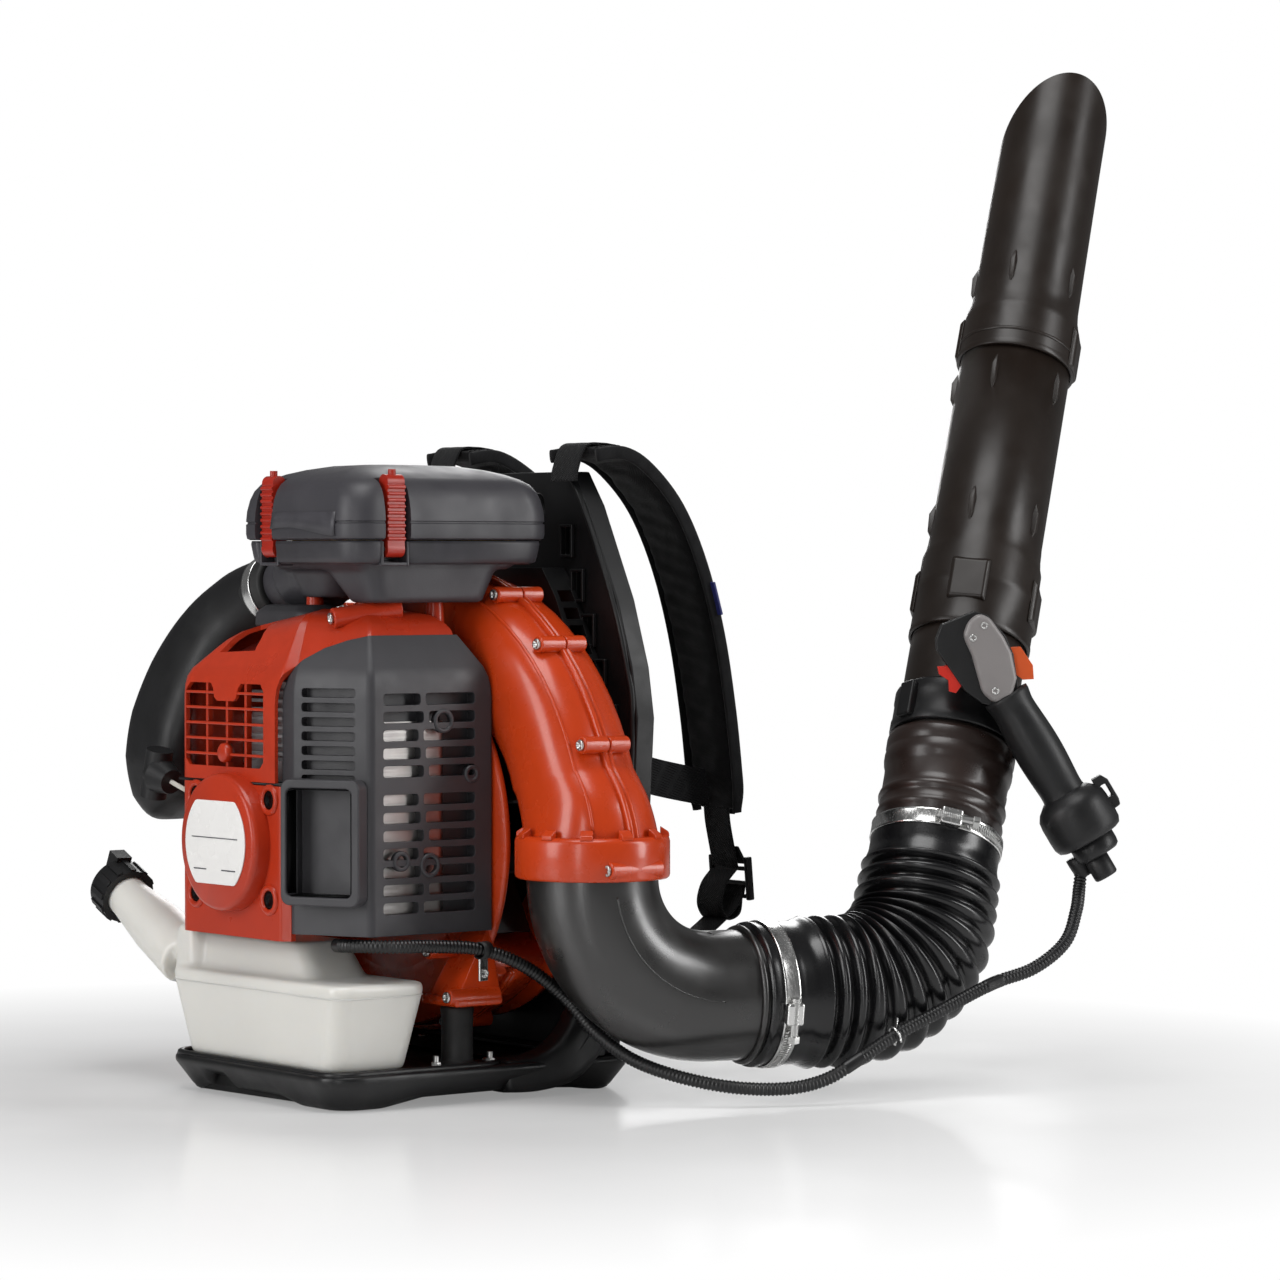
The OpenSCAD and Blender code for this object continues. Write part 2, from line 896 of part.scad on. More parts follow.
module filter_base() {
    color("#3a3b3e")
        difference() {
            union() {
                translate([0, 0, 424])
                    linear_extrude(seal_z - 424)
                        polygon(inset_plan(filter_plan, 6));
                rounded_block(-22, 92, -100, 0, 406, 426, 14);
                // Horn that leads to the intake duct
                at_horn()
                    cyl(42, 84);
                // Posts to the engine
                for (x = [-6, 74], y = [-80, -20])
                    translate([x, y, 369.2])
                        cyl(16, 40);
            }
            at_horn()
                cyl(34, 90);
            translate([0, 0, 428])
                linear_extrude(20)
                    polygon(inset_plan(filter_plan, 16));
            // Notches for the latches
            box(-18, 0, -130, -109, 420, 445);
            box(99, 120, -93, -75, 420, 445);
        }
    color("#3a3b3e") {
        for (s = [-1, 1]) {
            box(-9 + 11 * s - 2, -9 + 11 * s + 2, -121, -108, 428, 440);
            box(98, 111, -84 + 11 * s - 2, -84 + 11 * s + 2, 428, 440);
        }
        rod_x(-117, 434, 4, -22, 4);
        rod_y(107, 434, 4, -97, -71);
    }
}

module filter_element() {
    color("#c9a24b")
        difference() {
            translate([0, 0, seal_z])
                linear_extrude(40)
                    polygon(inset_plan(filter_plan, 12));
            for (i = [0:14])
                box(-14 + 7 * i, -10.5 + 7 * i, -92, 34, seal_z + 6, seal_z + 43);
        }
}

module filter_cover() {
    color("#424347")
        difference() {
            hull() {
                translate([0, 0, seal_z + 0.3])
                    linear_extrude(26)
                        polygon(filter_plan);
                translate([0, 0, 484])
                    linear_extrude(16)
                        polygon(inset_plan(filter_plan, 18));
            }
            hull() {
                translate([0, 0, seal_z])
                    linear_extrude(26)
                        polygon(inset_plan(filter_plan, 3));
                translate([0, 0, 484])
                    linear_extrude(12)
                        polygon(inset_plan(filter_plan, 20));
            }
            box(-19, 1, -130, -109, 430, 520);
            box(96, 125, -94, -74, 430, 520);
        }
}

// Ribbed latch that stands up from a pin at its foot
module latch() {
    difference() {
        union() {
            box(-8, 8, -6, 7, 0, 50);
            rod_x(0, 0, 13, -8, 8);
            rod_x(0, 52, 12, -8, 8);
            for (i = [0:8])
                rod_x(-6, 8 + 5 * i, 3, -8, 8);
            translate([0, 0, 54])
                cyl(6, 8);
        }
        rod_x(0, 0, 4 + 2 * slip, -9, 9);
    }
}

module latch_left() {
    color("#d23a26")
        translate([-9, -117, 434])
            latch();
}

module latch_right() {
    color("#d23a26")
        translate([107, -84, 434])
            rotate([0, 0, 90])
                latch();
}

duct_path = [[-84, -60, 404, 25], [-146, -66, 384, 29], [-186, -76, 322, 38],
    [-200, -80, 262, 44], [-192, -80, 228, 34]];

module duct_run() {
    for (i = [0:len(duct_path) - 2]) {
        a = duct_path[i];
        b = duct_path[i + 1];
        hull() {
            translate([a[0], a[1], a[2]])
                sphere(r = a[3], $fn = 24);
            translate([b[0], b[1], b[2]])
                sphere(r = b[3], $fn = 24);
        }
    }
}

module intake_duct() {
    color("#1a1a1c")
        difference() {
            union() {
                difference() {
                    duct_run();
                    box(-86, 0, -200, 100, 300, 500);
                }
                rod_x(cyl_y, carb_z, 44, -172, -132.2);
            }
            hull() {
                translate([-186, -76, 322])
                    sphere(r = 33, $fn = 24);
                translate([-200, -80, 262])
                    sphere(r = 39, $fn = 24);
            }
            at_horn()
                cyl(42.2, 88);
            rod_x(cyl_y, carb_z, 34, -190, -130);
        }
}

// --- Elbow, hose and tubes ---

module elbow() {
    color("#3a3938")
        translate([outlet_x, fan_y, collar_z0 - elbow_r])
            rotate([0, 0, hose_heading]) {
                translate([0, 0, elbow_r])
                    ring(pipe_d - 0.4, pipe_d - 8, -1, 30);
                translate([elbow_r, 0, elbow_r])
                    rotate([90, 0, 0])
                        rotate([0, 0, 180])
                            rotate_extrude(angle = 90)
                                translate([elbow_r, 0])
                                    difference() {
                                        circle(d = pipe_d - 1);
                                        circle(d = pipe_d - 7);
                                    }
                translate([elbow_r, 0, 0])
                    rotate([0, 90, 0])
                        ring(pipe_d, pipe_d - 8, -1, cuff_len + 14);
            }
}

cuff_d = pipe_d + 7;

module root_clamps() {
    color("#c9cbce") {
        at_hose_start()
            rotate([0, 0, -60])
                worm_clamp(cuff_d + 0.6);
        at_horn()
            rotate([0, 0, 180])
                translate([0, 0, 68])
                    worm_clamp(56.4);
    }
}

straight_len = norm(bend_start - hose_start);
arc_len = bellows_bend_r * hose_bend * PI / 180;
hose_len = 2 * straight_len + arc_len;
bend_centre = bend_start + bellows_bend_r * bend_dir;
fold_count = 13;
fold_from = 34;
fold_to = hose_len - 32;
fold_pitch = (fold_to - fold_from) / fold_count;

// Place and direction of the hose's centre line at a length from the lower clamp
function hose_turn(s) = max(0, min(hose_bend, (s - straight_len) / bellows_bend_r * 180 / PI));
function hose_dir_at(s) = cos(hose_turn(s)) * hose_dir + sin(hose_turn(s)) * bend_dir;
function hose_at(s) =
    s < straight_len ? hose_start + s * hose_dir
    : s > straight_len + arc_len ? tube_base + (s - hose_len) * tube_dir
    : bend_centre + bellows_bend_r
        * (sin(hose_turn(s)) * hose_dir - cos(hose_turn(s)) * bend_dir);

// Length and radius of each ring along the outside, then back along the inside
bellows_rings = concat(
    [[-16, cuff_d / 2], [28, cuff_d / 2]],
    [for (i = [0:fold_count - 1], half = [0, 1])
        [fold_from + (i + half / 2) * fold_pitch, bellows_d / 2 - (half == 0 ? 8 : 0)]],
    [[fold_to, bellows_d / 2 - 8], [hose_len - 26, tube_d / 2 + 4.5], [hose_len + 7, tube_d / 2 + 4.5]],
    [[hose_len + 7, tube_d / 2 + 1.8], [hose_len - 22, tube_d / 2 + 1.8]],
    [for (i = [5:-1:0]) [30 + (hose_len - 56) * i / 5, pipe_d / 2 - 4]],
    [[26, pipe_d / 2 + 1.4], [-16, pipe_d / 2 + 1.4]]
);
bellows_sides = 24;

module bellows() {
    side = cross(hose_dir, bend_dir);
    points = [
        for (ring = bellows_rings, k = [0:bellows_sides - 1])
            let (f = hose_dir_at(ring[0]), u = cross(side, f), a = 360 * k / bellows_sides)
                hose_at(ring[0]) + ring[1] * (cos(a) * side + sin(a) * u)
    ];
    count = len(bellows_rings);
    faces = [
        for (i = [0:count - 1], k = [0:bellows_sides - 1])
            let (n = bellows_sides, j = (i + 1) % count, a = i * n + k, b = i * n + (k + 1) % n,
                c = j * n + k, d = j * n + (k + 1) % n)
                each [[a, c, b], [b, c, d]]
    ];
    color("#18181a")
        polyhedron(points, faces);
}

// Spring-wire eye that holds the throttle conduit beside the bellows
guide_at = 15;

module cable_guide() {
    f = route_dir(conduit_route, guide_at);
    color("#b9bbbd")
        translate(conduit_route[guide_at])
            rotate([0, acos(f.z), atan2(f.y, f.x)])
                ring(17, 13, -1.5, 1.5);
}

module upper_clamp() {
    color("#c9cbce")
        at_tube()
            rotate([0, 0, 30])
                worm_clamp(tube_d + 9.6);
}

module swivel_sleeve() {
    color("#2e2724")
        at_tube() {
            ring(tube_d + 1, tube_d - 7, -20, 62);
            ring(tube_d + 8, tube_d + 0.6, 60, 84);
            ring(tube_d + 6, tube_d - 1, 10, 60);
            for (z = [22, 34, 72])
                ring(tube_d + 10, tube_d + 2, z, z + 4);
        }
}

module handle_bracket() {
    color("#1b1b1d") {
        at_tube() {
            ring(tube_d + 9, tube_d + 0.4, 87, 124);
            rotate([0, 0, 150])
                translate([tube_d / 2 + 2, -8, 90])
                    cube([7, 16, 30]);
        }
        difference() {
            hull() {
                at_tube()
                    rotate([0, 0, -85])
                        translate([tube_d / 2 + 2, 0, 92])
                            cyl(16, 26, $fn = 32);
                at_handle()
                    translate([-2, 0, -14])
                        rotate([90, 0, 0])
                            cylinder(d = 22, h = 14, center = true, $fn = 32);
            }
            at_tube() {
                translate([0, 0, -100])
                    cyl(tube_d + 0.4, 400);
                translate([0, 0, -100])
                    cyl(tube_d + 11, 185);
            }
            at_handle() {
                cylinder(d = 60.4, h = 64, center = true);
                translate([0, 0, -70])
                    cyl(40, 190);
            }
        }
    }
}

module tube_lower() {
    color("#241f1d")
        at_tube() {
            difference() {
                ring(tube_d, tube_d - 6, 64, 215);
                for (a = [96, 116])
                    rotate([0, 0, a])
                        translate([tube_d / 2 - 1, -2, 130])
                            cube([3, 4, 40]);
            }
            // Bayonet peg
            rotate([0, 0, 100])
                translate([tube_d / 2 - 1, 0, 206])
                    rotate([0, 90, 0])
                        cyl(9, 8);
        }
}

module tube_middle() {
    color("#211d1b")
        at_tube() {
            difference() {
                union() {
                    ring(tube_d + 5, tube_d + 0.4, 176, 219);
                    ring(tube_d + 5, tube_d - 8, 218.99, 252);
                    // Raised pads of the bayonet
                    for (a = [100, 280])
                        rotate([0, 0, a])
                            difference() {
                                translate([tube_d / 2 - 4, -20, 196])
                                    cube([12, 40, 42]);
                                translate([0, 0, 190])
                                    cyl(tube_d + 0.4, 60);
                            }
                }
                rotate([0, 0, 100])
                    translate([tube_d / 2 - 6, -4.7, 170])
                        cube([20, 9.4, 41]);
            }
            ring(tube_d - 2, tube_d - 8, 251.99, 474);
            ring(tube_d, tube_d - 4, 252, 268);
            tooth_row((tube_d - 2) / 2, 270, 5);
            tooth_row((tube_d - 2) / 2, 396, 5);
        }
}

nozzle_z = 436;

module nozzle() {
    color("#171514")
        at_tube() {
            difference() {
                union() {
                    ring(tube_d + 3, tube_d - 1.4, nozzle_z + 2, 478);
                    ring(tube_d + 3, tube_d - 9, 477.99, 486);
                    ring(tube_d + 5, tube_d, nozzle_z, nozzle_z + 5);
                    ring(tube_d - 6, tube_d - 11, 485.99, tube_len);
                    tooth_row((tube_d - 6) / 2, 500, 5);
                }
                // Slanted mouth
                rotate([0, 0, 25])
                    translate([tube_d / 2 - 5, 0, tube_len])
                        rotate([0, 46, 0])
                            translate([-big / 2, -big / 2, 0])
                                translate([0, 0, -52])
                                    cube([big, big, 200]);
                translate([0, 0, -1])
                    cyl(tube_d - 1.4, nozzle_z + 10);
            }
        }
}

// --- Handle ---

head_outline = [[-26, 176], [-30, 168], [-27, 128], [-20, 112], [-12, 104], [10, 104], [14, 114],
    [22, 134], [24, 150], [20, 172], [12, 180], [-16, 184]];
face_outline = [[-6, 168], [-8, 150], [-16, 120], [-12, 108], [4, 106], [14, 116], [21, 136],
    [22, 150], [20, 170], [14, 177], [4, 176]];

module handle_plate(points, y0, y1) {
    at_handle()
        plate_y(points, y0, y1);
}

module handle_grip() {
    color("#202123")
        at_handle()
            difference() {
                union() {
                    translate([0, 0, 8])
                        cyl(grip_d, 95.9);
                    translate([0, 0, -26])
                        cyl(60, 40);
                    translate([0, 0, -40])
                        cyl(38, 16);
                    translate([-4, -4, -60])
                        cyl(20, 24);
                    box(26, 36, -6, 6, -16, 14);
                }
                box(28, 33, -7, 7, -6, 6);
                translate([-18, 6, -45])
                    cyl(11, 12);
            }
}

module head_front() {
    color("#55575a")
        difference() {
            handle_plate(face_outline, -20, -10);
            at_handle()
                for (p = [[0, 162], [13, 166]])
                    rod_y(p.x, p.y, 7, -21, -18);
        }
}

trigger_pin = [8, 146];
switch_pin = [-22, 143];

module head_back() {
    color("#1c1c1e")
        at_handle() {
            difference() {
                plate_y(head_outline, -10, 14);
                // Trigger slot
                box(0, 40, -7.5, 7.5, 100, 156);
                // Switch slot
                box(-40, -12, -7.5, 7.5, 128, 160);
            }
            rod_y(trigger_pin.x, trigger_pin.y, 4, -8, 8);
            rod_y(switch_pin.x, switch_pin.y, 4, -8, 8);
        }
}

module throttle_trigger() {
    color("#e0622a")
        at_handle()
            difference() {
                union() {
                    rod_y(trigger_pin.x, trigger_pin.y, 10, -7, 7);
                    plate_y([[6, 142], [14, 144], [30, 136], [31, 118], [26, 108], [18, 112]], -7, 7);
                }
                rod_y(trigger_pin.x, trigger_pin.y, 4 + 2 * slip, -9, 9);
            }
}

module stop_switch() {
    color("#e0281a")
        at_handle()
            difference() {
                union() {
                    rod_y(switch_pin.x, switch_pin.y, 10, -7, 7);
                    plate_y([[-22, 150], [-36, 156], [-38, 150], [-34, 142], [-38, 134], [-34, 130],
                        [-20, 136]], -7, 7);
                }
                rod_y(switch_pin.x, switch_pin.y, 4 + 2 * slip, -9, 9);
            }
}

// --- Throttle conduit ---

conduit_d = 11;
conduit_route = [
    [80, -118, 126], [104, -118, 127], [126, -100, 127], [132, -60, 125.5], [138, -24, 122],
    [146, 4, 112], [151.6, 27.7, 97.7], [157.1, 50.6, 77.6], [172.2, 64.1, 54.8], [204.3, 75, 35.6],
    [240, 92, 24], [272, 122, 16], [292, 160, 14], [304, 190, 20], [312, 216, 34],
    [318, 250, 52], [324.7, 291.5, 69], [330, 342, 88], [338, 380, 99], [340, 412, 118],
    [334, 430, 142], [324, 443, 160], [322, 447, 176]
];
conduit_ring = 8;

function unit(v) = v / norm(v);
function route_dir(p, i) = unit(p[min(i + 1, len(p) - 1)] - p[max(i - 1, 0)]);
// Catmull-Rom curve through the route's points
function smooth_point(p, i, t) =
    let (a = p[max(i - 1, 0)], b = p[i], c = p[i + 1], d = p[min(i + 2, len(p) - 1)])
        0.5 * (2 * b + (c - a) * t + (2 * a - 5 * b + 4 * c - d) * t * t
            + (3 * b - a - 3 * c + d) * t * t * t);
function smooth_route(p, steps) = concat(
    [for (i = [0:len(p) - 2], s = [0:steps - 1]) smooth_point(p, i, s / steps)],
    [p[len(p) - 1]]
);

module swept_tube(p, d, sides) {
    up = [0, 0, 1];
    points = [
        for (i = [0:len(p) - 1])
            let (f = route_dir(p, i), s = unit(cross(f, abs(f.z) > 0.9 ? [1, 0, 0] : up)),
                u = cross(s, f))
                for (k = [0:sides - 1])
                    p[i] + d / 2 * (cos(360 * k / sides) * s + sin(360 * k / sides) * u)
    ];
    sides_list = [
        for (i = [0:len(p) - 2], k = [0:sides - 1])
            let (a = i * sides + k, b = i * sides + (k + 1) % sides)
                each [[a, a + sides, b], [b, a + sides, b + sides]]
    ];
    first = [for (k = [0:sides - 1]) k];
    last = [for (k = [sides - 1:-1:0]) (len(p) - 1) * sides + k];
    polyhedron(points, concat(sides_list, [first, last]));
}

module throttle_conduit() {
    color("#1c1c1d")
        swept_tube(smooth_route(conduit_route, 3), conduit_d, conduit_ring);
}

// --- Mounts and fasteners ---

module rubber_mounts() {
    color("#111112")
        for (p = [[104, -20], [-104, -20]])
            translate([p.x, p.y, base_h])
                cyl(26, 47.9);
}

module screws() {
    color("#b5b7ba") {
        for (a = [45:90:315])
            rod_y(crank_x + 66 * cos(a), crank_z + 66 * sin(a) * 0.86, 10,
                starter_y - 2, starter_y + 2);
        for (x = skid_screw_x, y = skid_screw_y)
            translate([x, y, base_h - 6])
                cyl(8, 8);
    }
}

base_skid();
back_frame();
back_pad();
fuel_tank();
fuel_cap();
fuel_pickup();
starter_cover();
starter_badge();
top_cover();
grille_cover();
exhaust_frame();
muffler();
crankcase();
engine_cylinder();
piston();
piston_pin();
connecting_rod();
crankshaft();
crank_bearings();
flywheel();
ignition_coil();
spark_plug();
spark_plug_cap();
carburettor();
throttle_lever();
starter_hub();
starter_pulley();
starter_rope();
starter_handle();
fan_impeller();
volute_front();
volute_back();
intake_grille();
filter_base();
filter_element();
filter_cover();
latch_left();
latch_right();
intake_duct();
elbow();
root_clamps();
bellows();
cable_guide();
upper_clamp();
swivel_sleeve();
handle_bracket();
tube_lower();
tube_middle();
nozzle();
handle_grip();
head_front();
head_back();
throttle_trigger();
stop_switch();
throttle_conduit();
shoulder_pads();
harness_webbing();
harness_buckles();
rubber_mounts();
screws();
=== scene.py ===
import json
import math

import bmesh
import bpy
from mathutils import Matrix, Vector


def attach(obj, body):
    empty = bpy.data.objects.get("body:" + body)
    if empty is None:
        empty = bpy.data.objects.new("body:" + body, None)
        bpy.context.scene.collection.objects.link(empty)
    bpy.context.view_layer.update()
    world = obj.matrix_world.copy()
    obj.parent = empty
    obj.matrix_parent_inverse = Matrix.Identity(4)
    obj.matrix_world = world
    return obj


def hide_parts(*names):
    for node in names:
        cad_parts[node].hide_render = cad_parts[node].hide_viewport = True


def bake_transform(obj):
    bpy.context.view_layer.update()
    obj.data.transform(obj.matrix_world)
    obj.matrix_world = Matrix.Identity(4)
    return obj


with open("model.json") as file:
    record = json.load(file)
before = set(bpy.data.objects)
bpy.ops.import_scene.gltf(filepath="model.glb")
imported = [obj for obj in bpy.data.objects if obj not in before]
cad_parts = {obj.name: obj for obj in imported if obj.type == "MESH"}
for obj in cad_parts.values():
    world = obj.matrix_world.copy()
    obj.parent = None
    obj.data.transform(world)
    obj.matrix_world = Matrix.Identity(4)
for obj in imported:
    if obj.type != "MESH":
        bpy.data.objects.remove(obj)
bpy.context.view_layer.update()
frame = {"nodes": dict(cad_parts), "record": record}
scene = bpy.context.scene
MM = 0.001
TAU = 2 * math.pi


# ---------------------------------------------------------------- helpers
def V(*p):
    return Vector(p)


def link(name, mesh, smooth=True):
    obj = bpy.data.objects.new(name, mesh)
    scene.collection.objects.link(obj)
    if smooth:
        mesh.shade_smooth()
    return obj


def mesh_object(name, points, faces, smooth=True):
    """A mesh from points in millimetres."""
    mesh = bpy.data.meshes.new(name)
    mesh.from_pydata([Vector(p) * MM for p in points], [], faces)
    bm = bmesh.new()
    bm.from_mesh(mesh)
    bmesh.ops.recalc_face_normals(bm, faces=bm.faces)
    bm.to_mesh(mesh)
    bm.free()
    return link(name, mesh, smooth)


def loft(name, loops, caps=True, ring=False):
    """Skin over closed loops of points that all have the same count."""
    n = len(loops[0])
    points = [p for loop in loops for p in loop]
    faces = []
    rows = len(loops) if ring else len(loops) - 1
    for i in range(rows):
        j = (i + 1) % len(loops)
        for k in range(n):
            m = (k + 1) % n
            faces.append((i * n + k, i * n + m, j * n + m, j * n + k))
    if caps and not ring:
        faces.append(tuple(range(n)))
        faces.append(tuple((len(loops) - 1) * n + k for k in range(n)))
    return mesh_object(name, points, faces)


def revolve(name, profile, matrix, sides=72, ring=True):
    """Turns (radius, height) points round the matrix's Z axis."""
    loops = []
    for r, z in profile:
        loops.append([matrix @ V(r * math.cos(TAU * k / sides), r * math.sin(TAU * k / sides), z)
                      for k in range(sides)])
    return loft(name, loops, caps=not ring, ring=ring)


def frames_along(path):
    """Position, side and up of each point of a path, with no twist."""
    out = []
    up = None
    for i, p in enumerate(path):
        d = (path[min(i + 1, len(path) - 1)] - path[max(i - 1, 0)]).normalized()
        if up is None:
            up = V(0, 0, 1) if abs(d.z) < 0.9 else V(1, 0, 0)
        side = d.cross(up).normalized()
        up = side.cross(d).normalized()
        out.append((p, side, up, d))
    return out


def sweep(name, path, radius, sides=16, caps=True):
    """Round tube along a path; radius is a number or a function of the index."""
    loops = []
    for i, (p, s, u, _) in enumerate(frames_along(path)):
        r = radius(i) if callable(radius) else radius
        loops.append([p + r * (math.cos(TAU * k / sides) * s + math.sin(TAU * k / sides) * u)
                      for k in range(sides)])
    return loft(name, loops, caps)


def curve_through(points, steps):
    """Catmull-Rom curve through points."""
    out = []
    n = len(points)
    for i in range(n - 1):
        a, b, c, d = (points[max(i - 1, 0)], points[i], points[i + 1], points[min(i + 2, n - 1)])
        for s in range(steps):
            t = s / steps
            out.append(0.5 * (2 * b + (c - a) * t + (2 * a - 5 * b + 4 * c - d) * t * t
                              + (3 * b - a - 3 * c + d) * t ** 3))
    out.append(points[-1].copy())
    return out


def prism(name, outline, place, low, high):
    """Outline of (u, v) pairs made solid between two heights; place maps (u, v, w) to a point."""
    loops = [[place(u, v, w) for u, v in outline] for w in (low, high)]
    return loft(name, loops)


def block(name, low, high, matrix=None):
    outline = [(low[0], low[1]), (high[0], low[1]), (high[0], high[1]), (low[0], high[1])]
    matrix = matrix or Matrix.Identity(4)
    return prism(name, outline, lambda u, v, w: matrix @ V(u, v, w), low[2], high[2])


def rod(name, a, b, r, sides=32, r2=None):
    a, b = V(*a), V(*b)
    d = (b - a).normalized()
    up = V(0, 0, 1) if abs(d.z) < 0.9 else V(1, 0, 0)
    s = d.cross(up).normalized()
    u = s.cross(d)
    loops = []
    for p, q in ((a, r), (b, r2 if r2 else r)):
        loops.append([p + q * (math.cos(TAU * k / sides) * s + math.sin(TAU * k / sides) * u)
                      for k in range(sides)])
    return loft(name, loops)


def hull(name, points):
    mesh = bpy.data.meshes.new(name)
    bm = bmesh.new()
    for p in points:
        bm.verts.new(Vector(p) * MM)
    out = bmesh.ops.convex_hull(bm, input=bm.verts)
    spare = {g for g in out["geom_unused"] + out["geom_interior"] if isinstance(g, bmesh.types.BMVert)}
    bmesh.ops.delete(bm, geom=list(spare), context="VERTS")
    bmesh.ops.dissolve_limit(bm, angle_limit=0.02, verts=bm.verts, edges=bm.edges)
    bm.to_mesh(mesh)
    bm.free()
    return link(name, mesh)


def apply(obj):
    """Keeps what the modifiers make as the mesh itself."""
    depsgraph = bpy.context.evaluated_depsgraph_get()
    depsgraph.update()
    made = bpy.data.meshes.new_from_object(obj.evaluated_get(depsgraph))
    obj.modifiers.clear()
    old = obj.data
    obj.data = made
    bpy.data.meshes.remove(old)
    return obj


def join(name, parts):
    bm = bmesh.new()
    for o in parts:
        if o.modifiers:
            apply(o)
        bm.from_mesh(o.data)
    mesh = bpy.data.meshes.new(name)
    bm.to_mesh(mesh)
    bm.free()
    for o in parts:
        old = o.data
        bpy.data.objects.remove(o)
        if not old.users:
            bpy.data.meshes.remove(old)
    return link(name, mesh)


def fuse(name, parts, voxel=2.0, rounds=6, factor=0.5):
    """One smooth moulding from overlapping solids."""
    obj = join(name, parts)
    m = obj.modifiers.new("fuse", "REMESH")
    m.mode = "VOXEL"
    m.voxel_size = voxel * MM
    m.use_smooth_shade = True
    if rounds:
        s = obj.modifiers.new("ease", "SMOOTH")
        s.factor = factor
        s.iterations = rounds
    return apply(obj)


def cut(obj, tools):
    """Takes the tool solids out of obj."""
    if obj.modifiers:
        apply(obj)
    for t in tools:
        m = obj.modifiers.new("cut", "BOOLEAN")
        m.operation = "DIFFERENCE"
        m.solver = "EXACT"
        m.object = t
    apply(obj)
    for t in tools:
        old = t.data
        bpy.data.objects.remove(t)
        bpy.data.meshes.remove(old)
    obj.data.shade_smooth()
    return obj


def soften(obj, width, segments=3, angle=32):
    """Rounded edges and even shading."""
    m = obj.modifiers.new("edges", "BEVEL")
    m.width = width * MM
    m.segments = segments
    m.limit_method = "ANGLE"
    m.angle_limit = math.radians(angle)
    m.use_clamp_overlap = True
    m.harden_normals = False
    w = obj.modifiers.new("shade", "WEIGHTED_NORMAL")
    w.keep_sharp = False
    w.weight = 90
    return obj


def cad_copy(name, node, width=0.8, segments=2, angle=32):
    """The CAD node's own shape with broken edges."""
    source = frame["nodes"][node].data
    bm = bmesh.new()
    bm.from_mesh(source)
    bmesh.ops.remove_doubles(bm, verts=bm.verts, dist=1e-5)
    bmesh.ops.dissolve_limit(bm, angle_limit=math.radians(0.6), verts=bm.verts, edges=bm.edges)
    mesh = bpy.data.meshes.new(name)
    bm.to_mesh(mesh)
    bm.free()
    obj = link(name, mesh)
    if width:
        soften(obj, width, segments, angle)
    return obj


def wear(obj, material, body, slot, *nodes):
    """Gives a piece its finish, its body and the CAD nodes it stands for."""
    obj.data.materials.clear()
    obj.data.materials.append(material)
    if body:
        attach(obj, body)
    if nodes:
        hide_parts(*nodes)
    return obj


# ---------------------------------------------------------------- materials
class Nodes:
    """Small builder for a node material."""

    def __init__(self, name):
        self.material = bpy.data.materials.new(name)
        self.material.use_nodes = True
        self.tree = self.material.node_tree
        self.shader = self.tree.nodes["Principled BSDF"]
        self.place = self.tree.nodes.new("ShaderNodeTexCoord").outputs["Object"]

    def node(self, kind, **values):
        n = self.tree.nodes.new(kind)
        for k, v in values.items():
            setattr(n, k, v)
        return n

    def join(self, a, b):
        self.tree.links.new(a, b)

    def scaled(self, scale):
        m = self.node("ShaderNodeMapping")
        m.inputs["Scale"].default_value = scale
        self.join(self.place, m.inputs["Vector"])
        return m.outputs["Vector"]

    def noise(self, scale, detail=3.0, vector=None, rough=0.5):
        n = self.node("ShaderNodeTexNoise")
        n.inputs["Scale"].default_value = scale
        n.inputs["Detail"].default_value = detail
        n.inputs["Roughness"].default_value = rough
        self.join(vector or self.place, n.inputs["Vector"])
        return n.outputs["Fac"]

    def spread(self, value, low, high, to_low, to_high):
        m = self.node("ShaderNodeMapRange")
        for k, v in (("From Min", low), ("From Max", high), ("To Min", to_low), ("To Max", to_high)):
            m.inputs[k].default_value = v
        self.join(value, m.inputs["Value"])
        return m.outputs["Result"]

    def blend(self, value, a, b):
        """Colour from a to b; each is a colour or a socket."""
        m = self.node("ShaderNodeMix", data_type="RGBA")
        self.join(value, m.inputs["Factor"])
        for socket, c in ((m.inputs["A"], a), (m.inputs["B"], b)):
            if isinstance(c, bpy.types.NodeSocket):
                self.join(c, socket)
            else:
                socket.default_value = (*c, 1)
        return m.outputs["Result"]

    def bump(self, value, strength, distance, under=None):
        b = self.node("ShaderNodeBump")
        b.inputs["Strength"].default_value = strength
        b.inputs["Distance"].default_value = distance
        self.join(value, b.inputs["Height"])
        if under:
            self.join(under, b.inputs["Normal"])
        return b.outputs["Normal"]

    def edges(self, low, high):
        """Rises on worn outer edges."""
        g = self.node("ShaderNodeNewGeometry")
        return self.spread(g.outputs["Pointiness"], low, high, 0.0, 1.0)

    def times(self, a, b):
        m = self.node("ShaderNodeMath", operation="MULTIPLY")
        self.join(a, m.inputs[0])
        if isinstance(b, bpy.types.NodeSocket):
            self.join(b, m.inputs[1])
        else:
            m.inputs[1].default_value = b
        return m.outputs["Value"]


def shade(c, k):
    return tuple(min(1, x * k) for x in c)


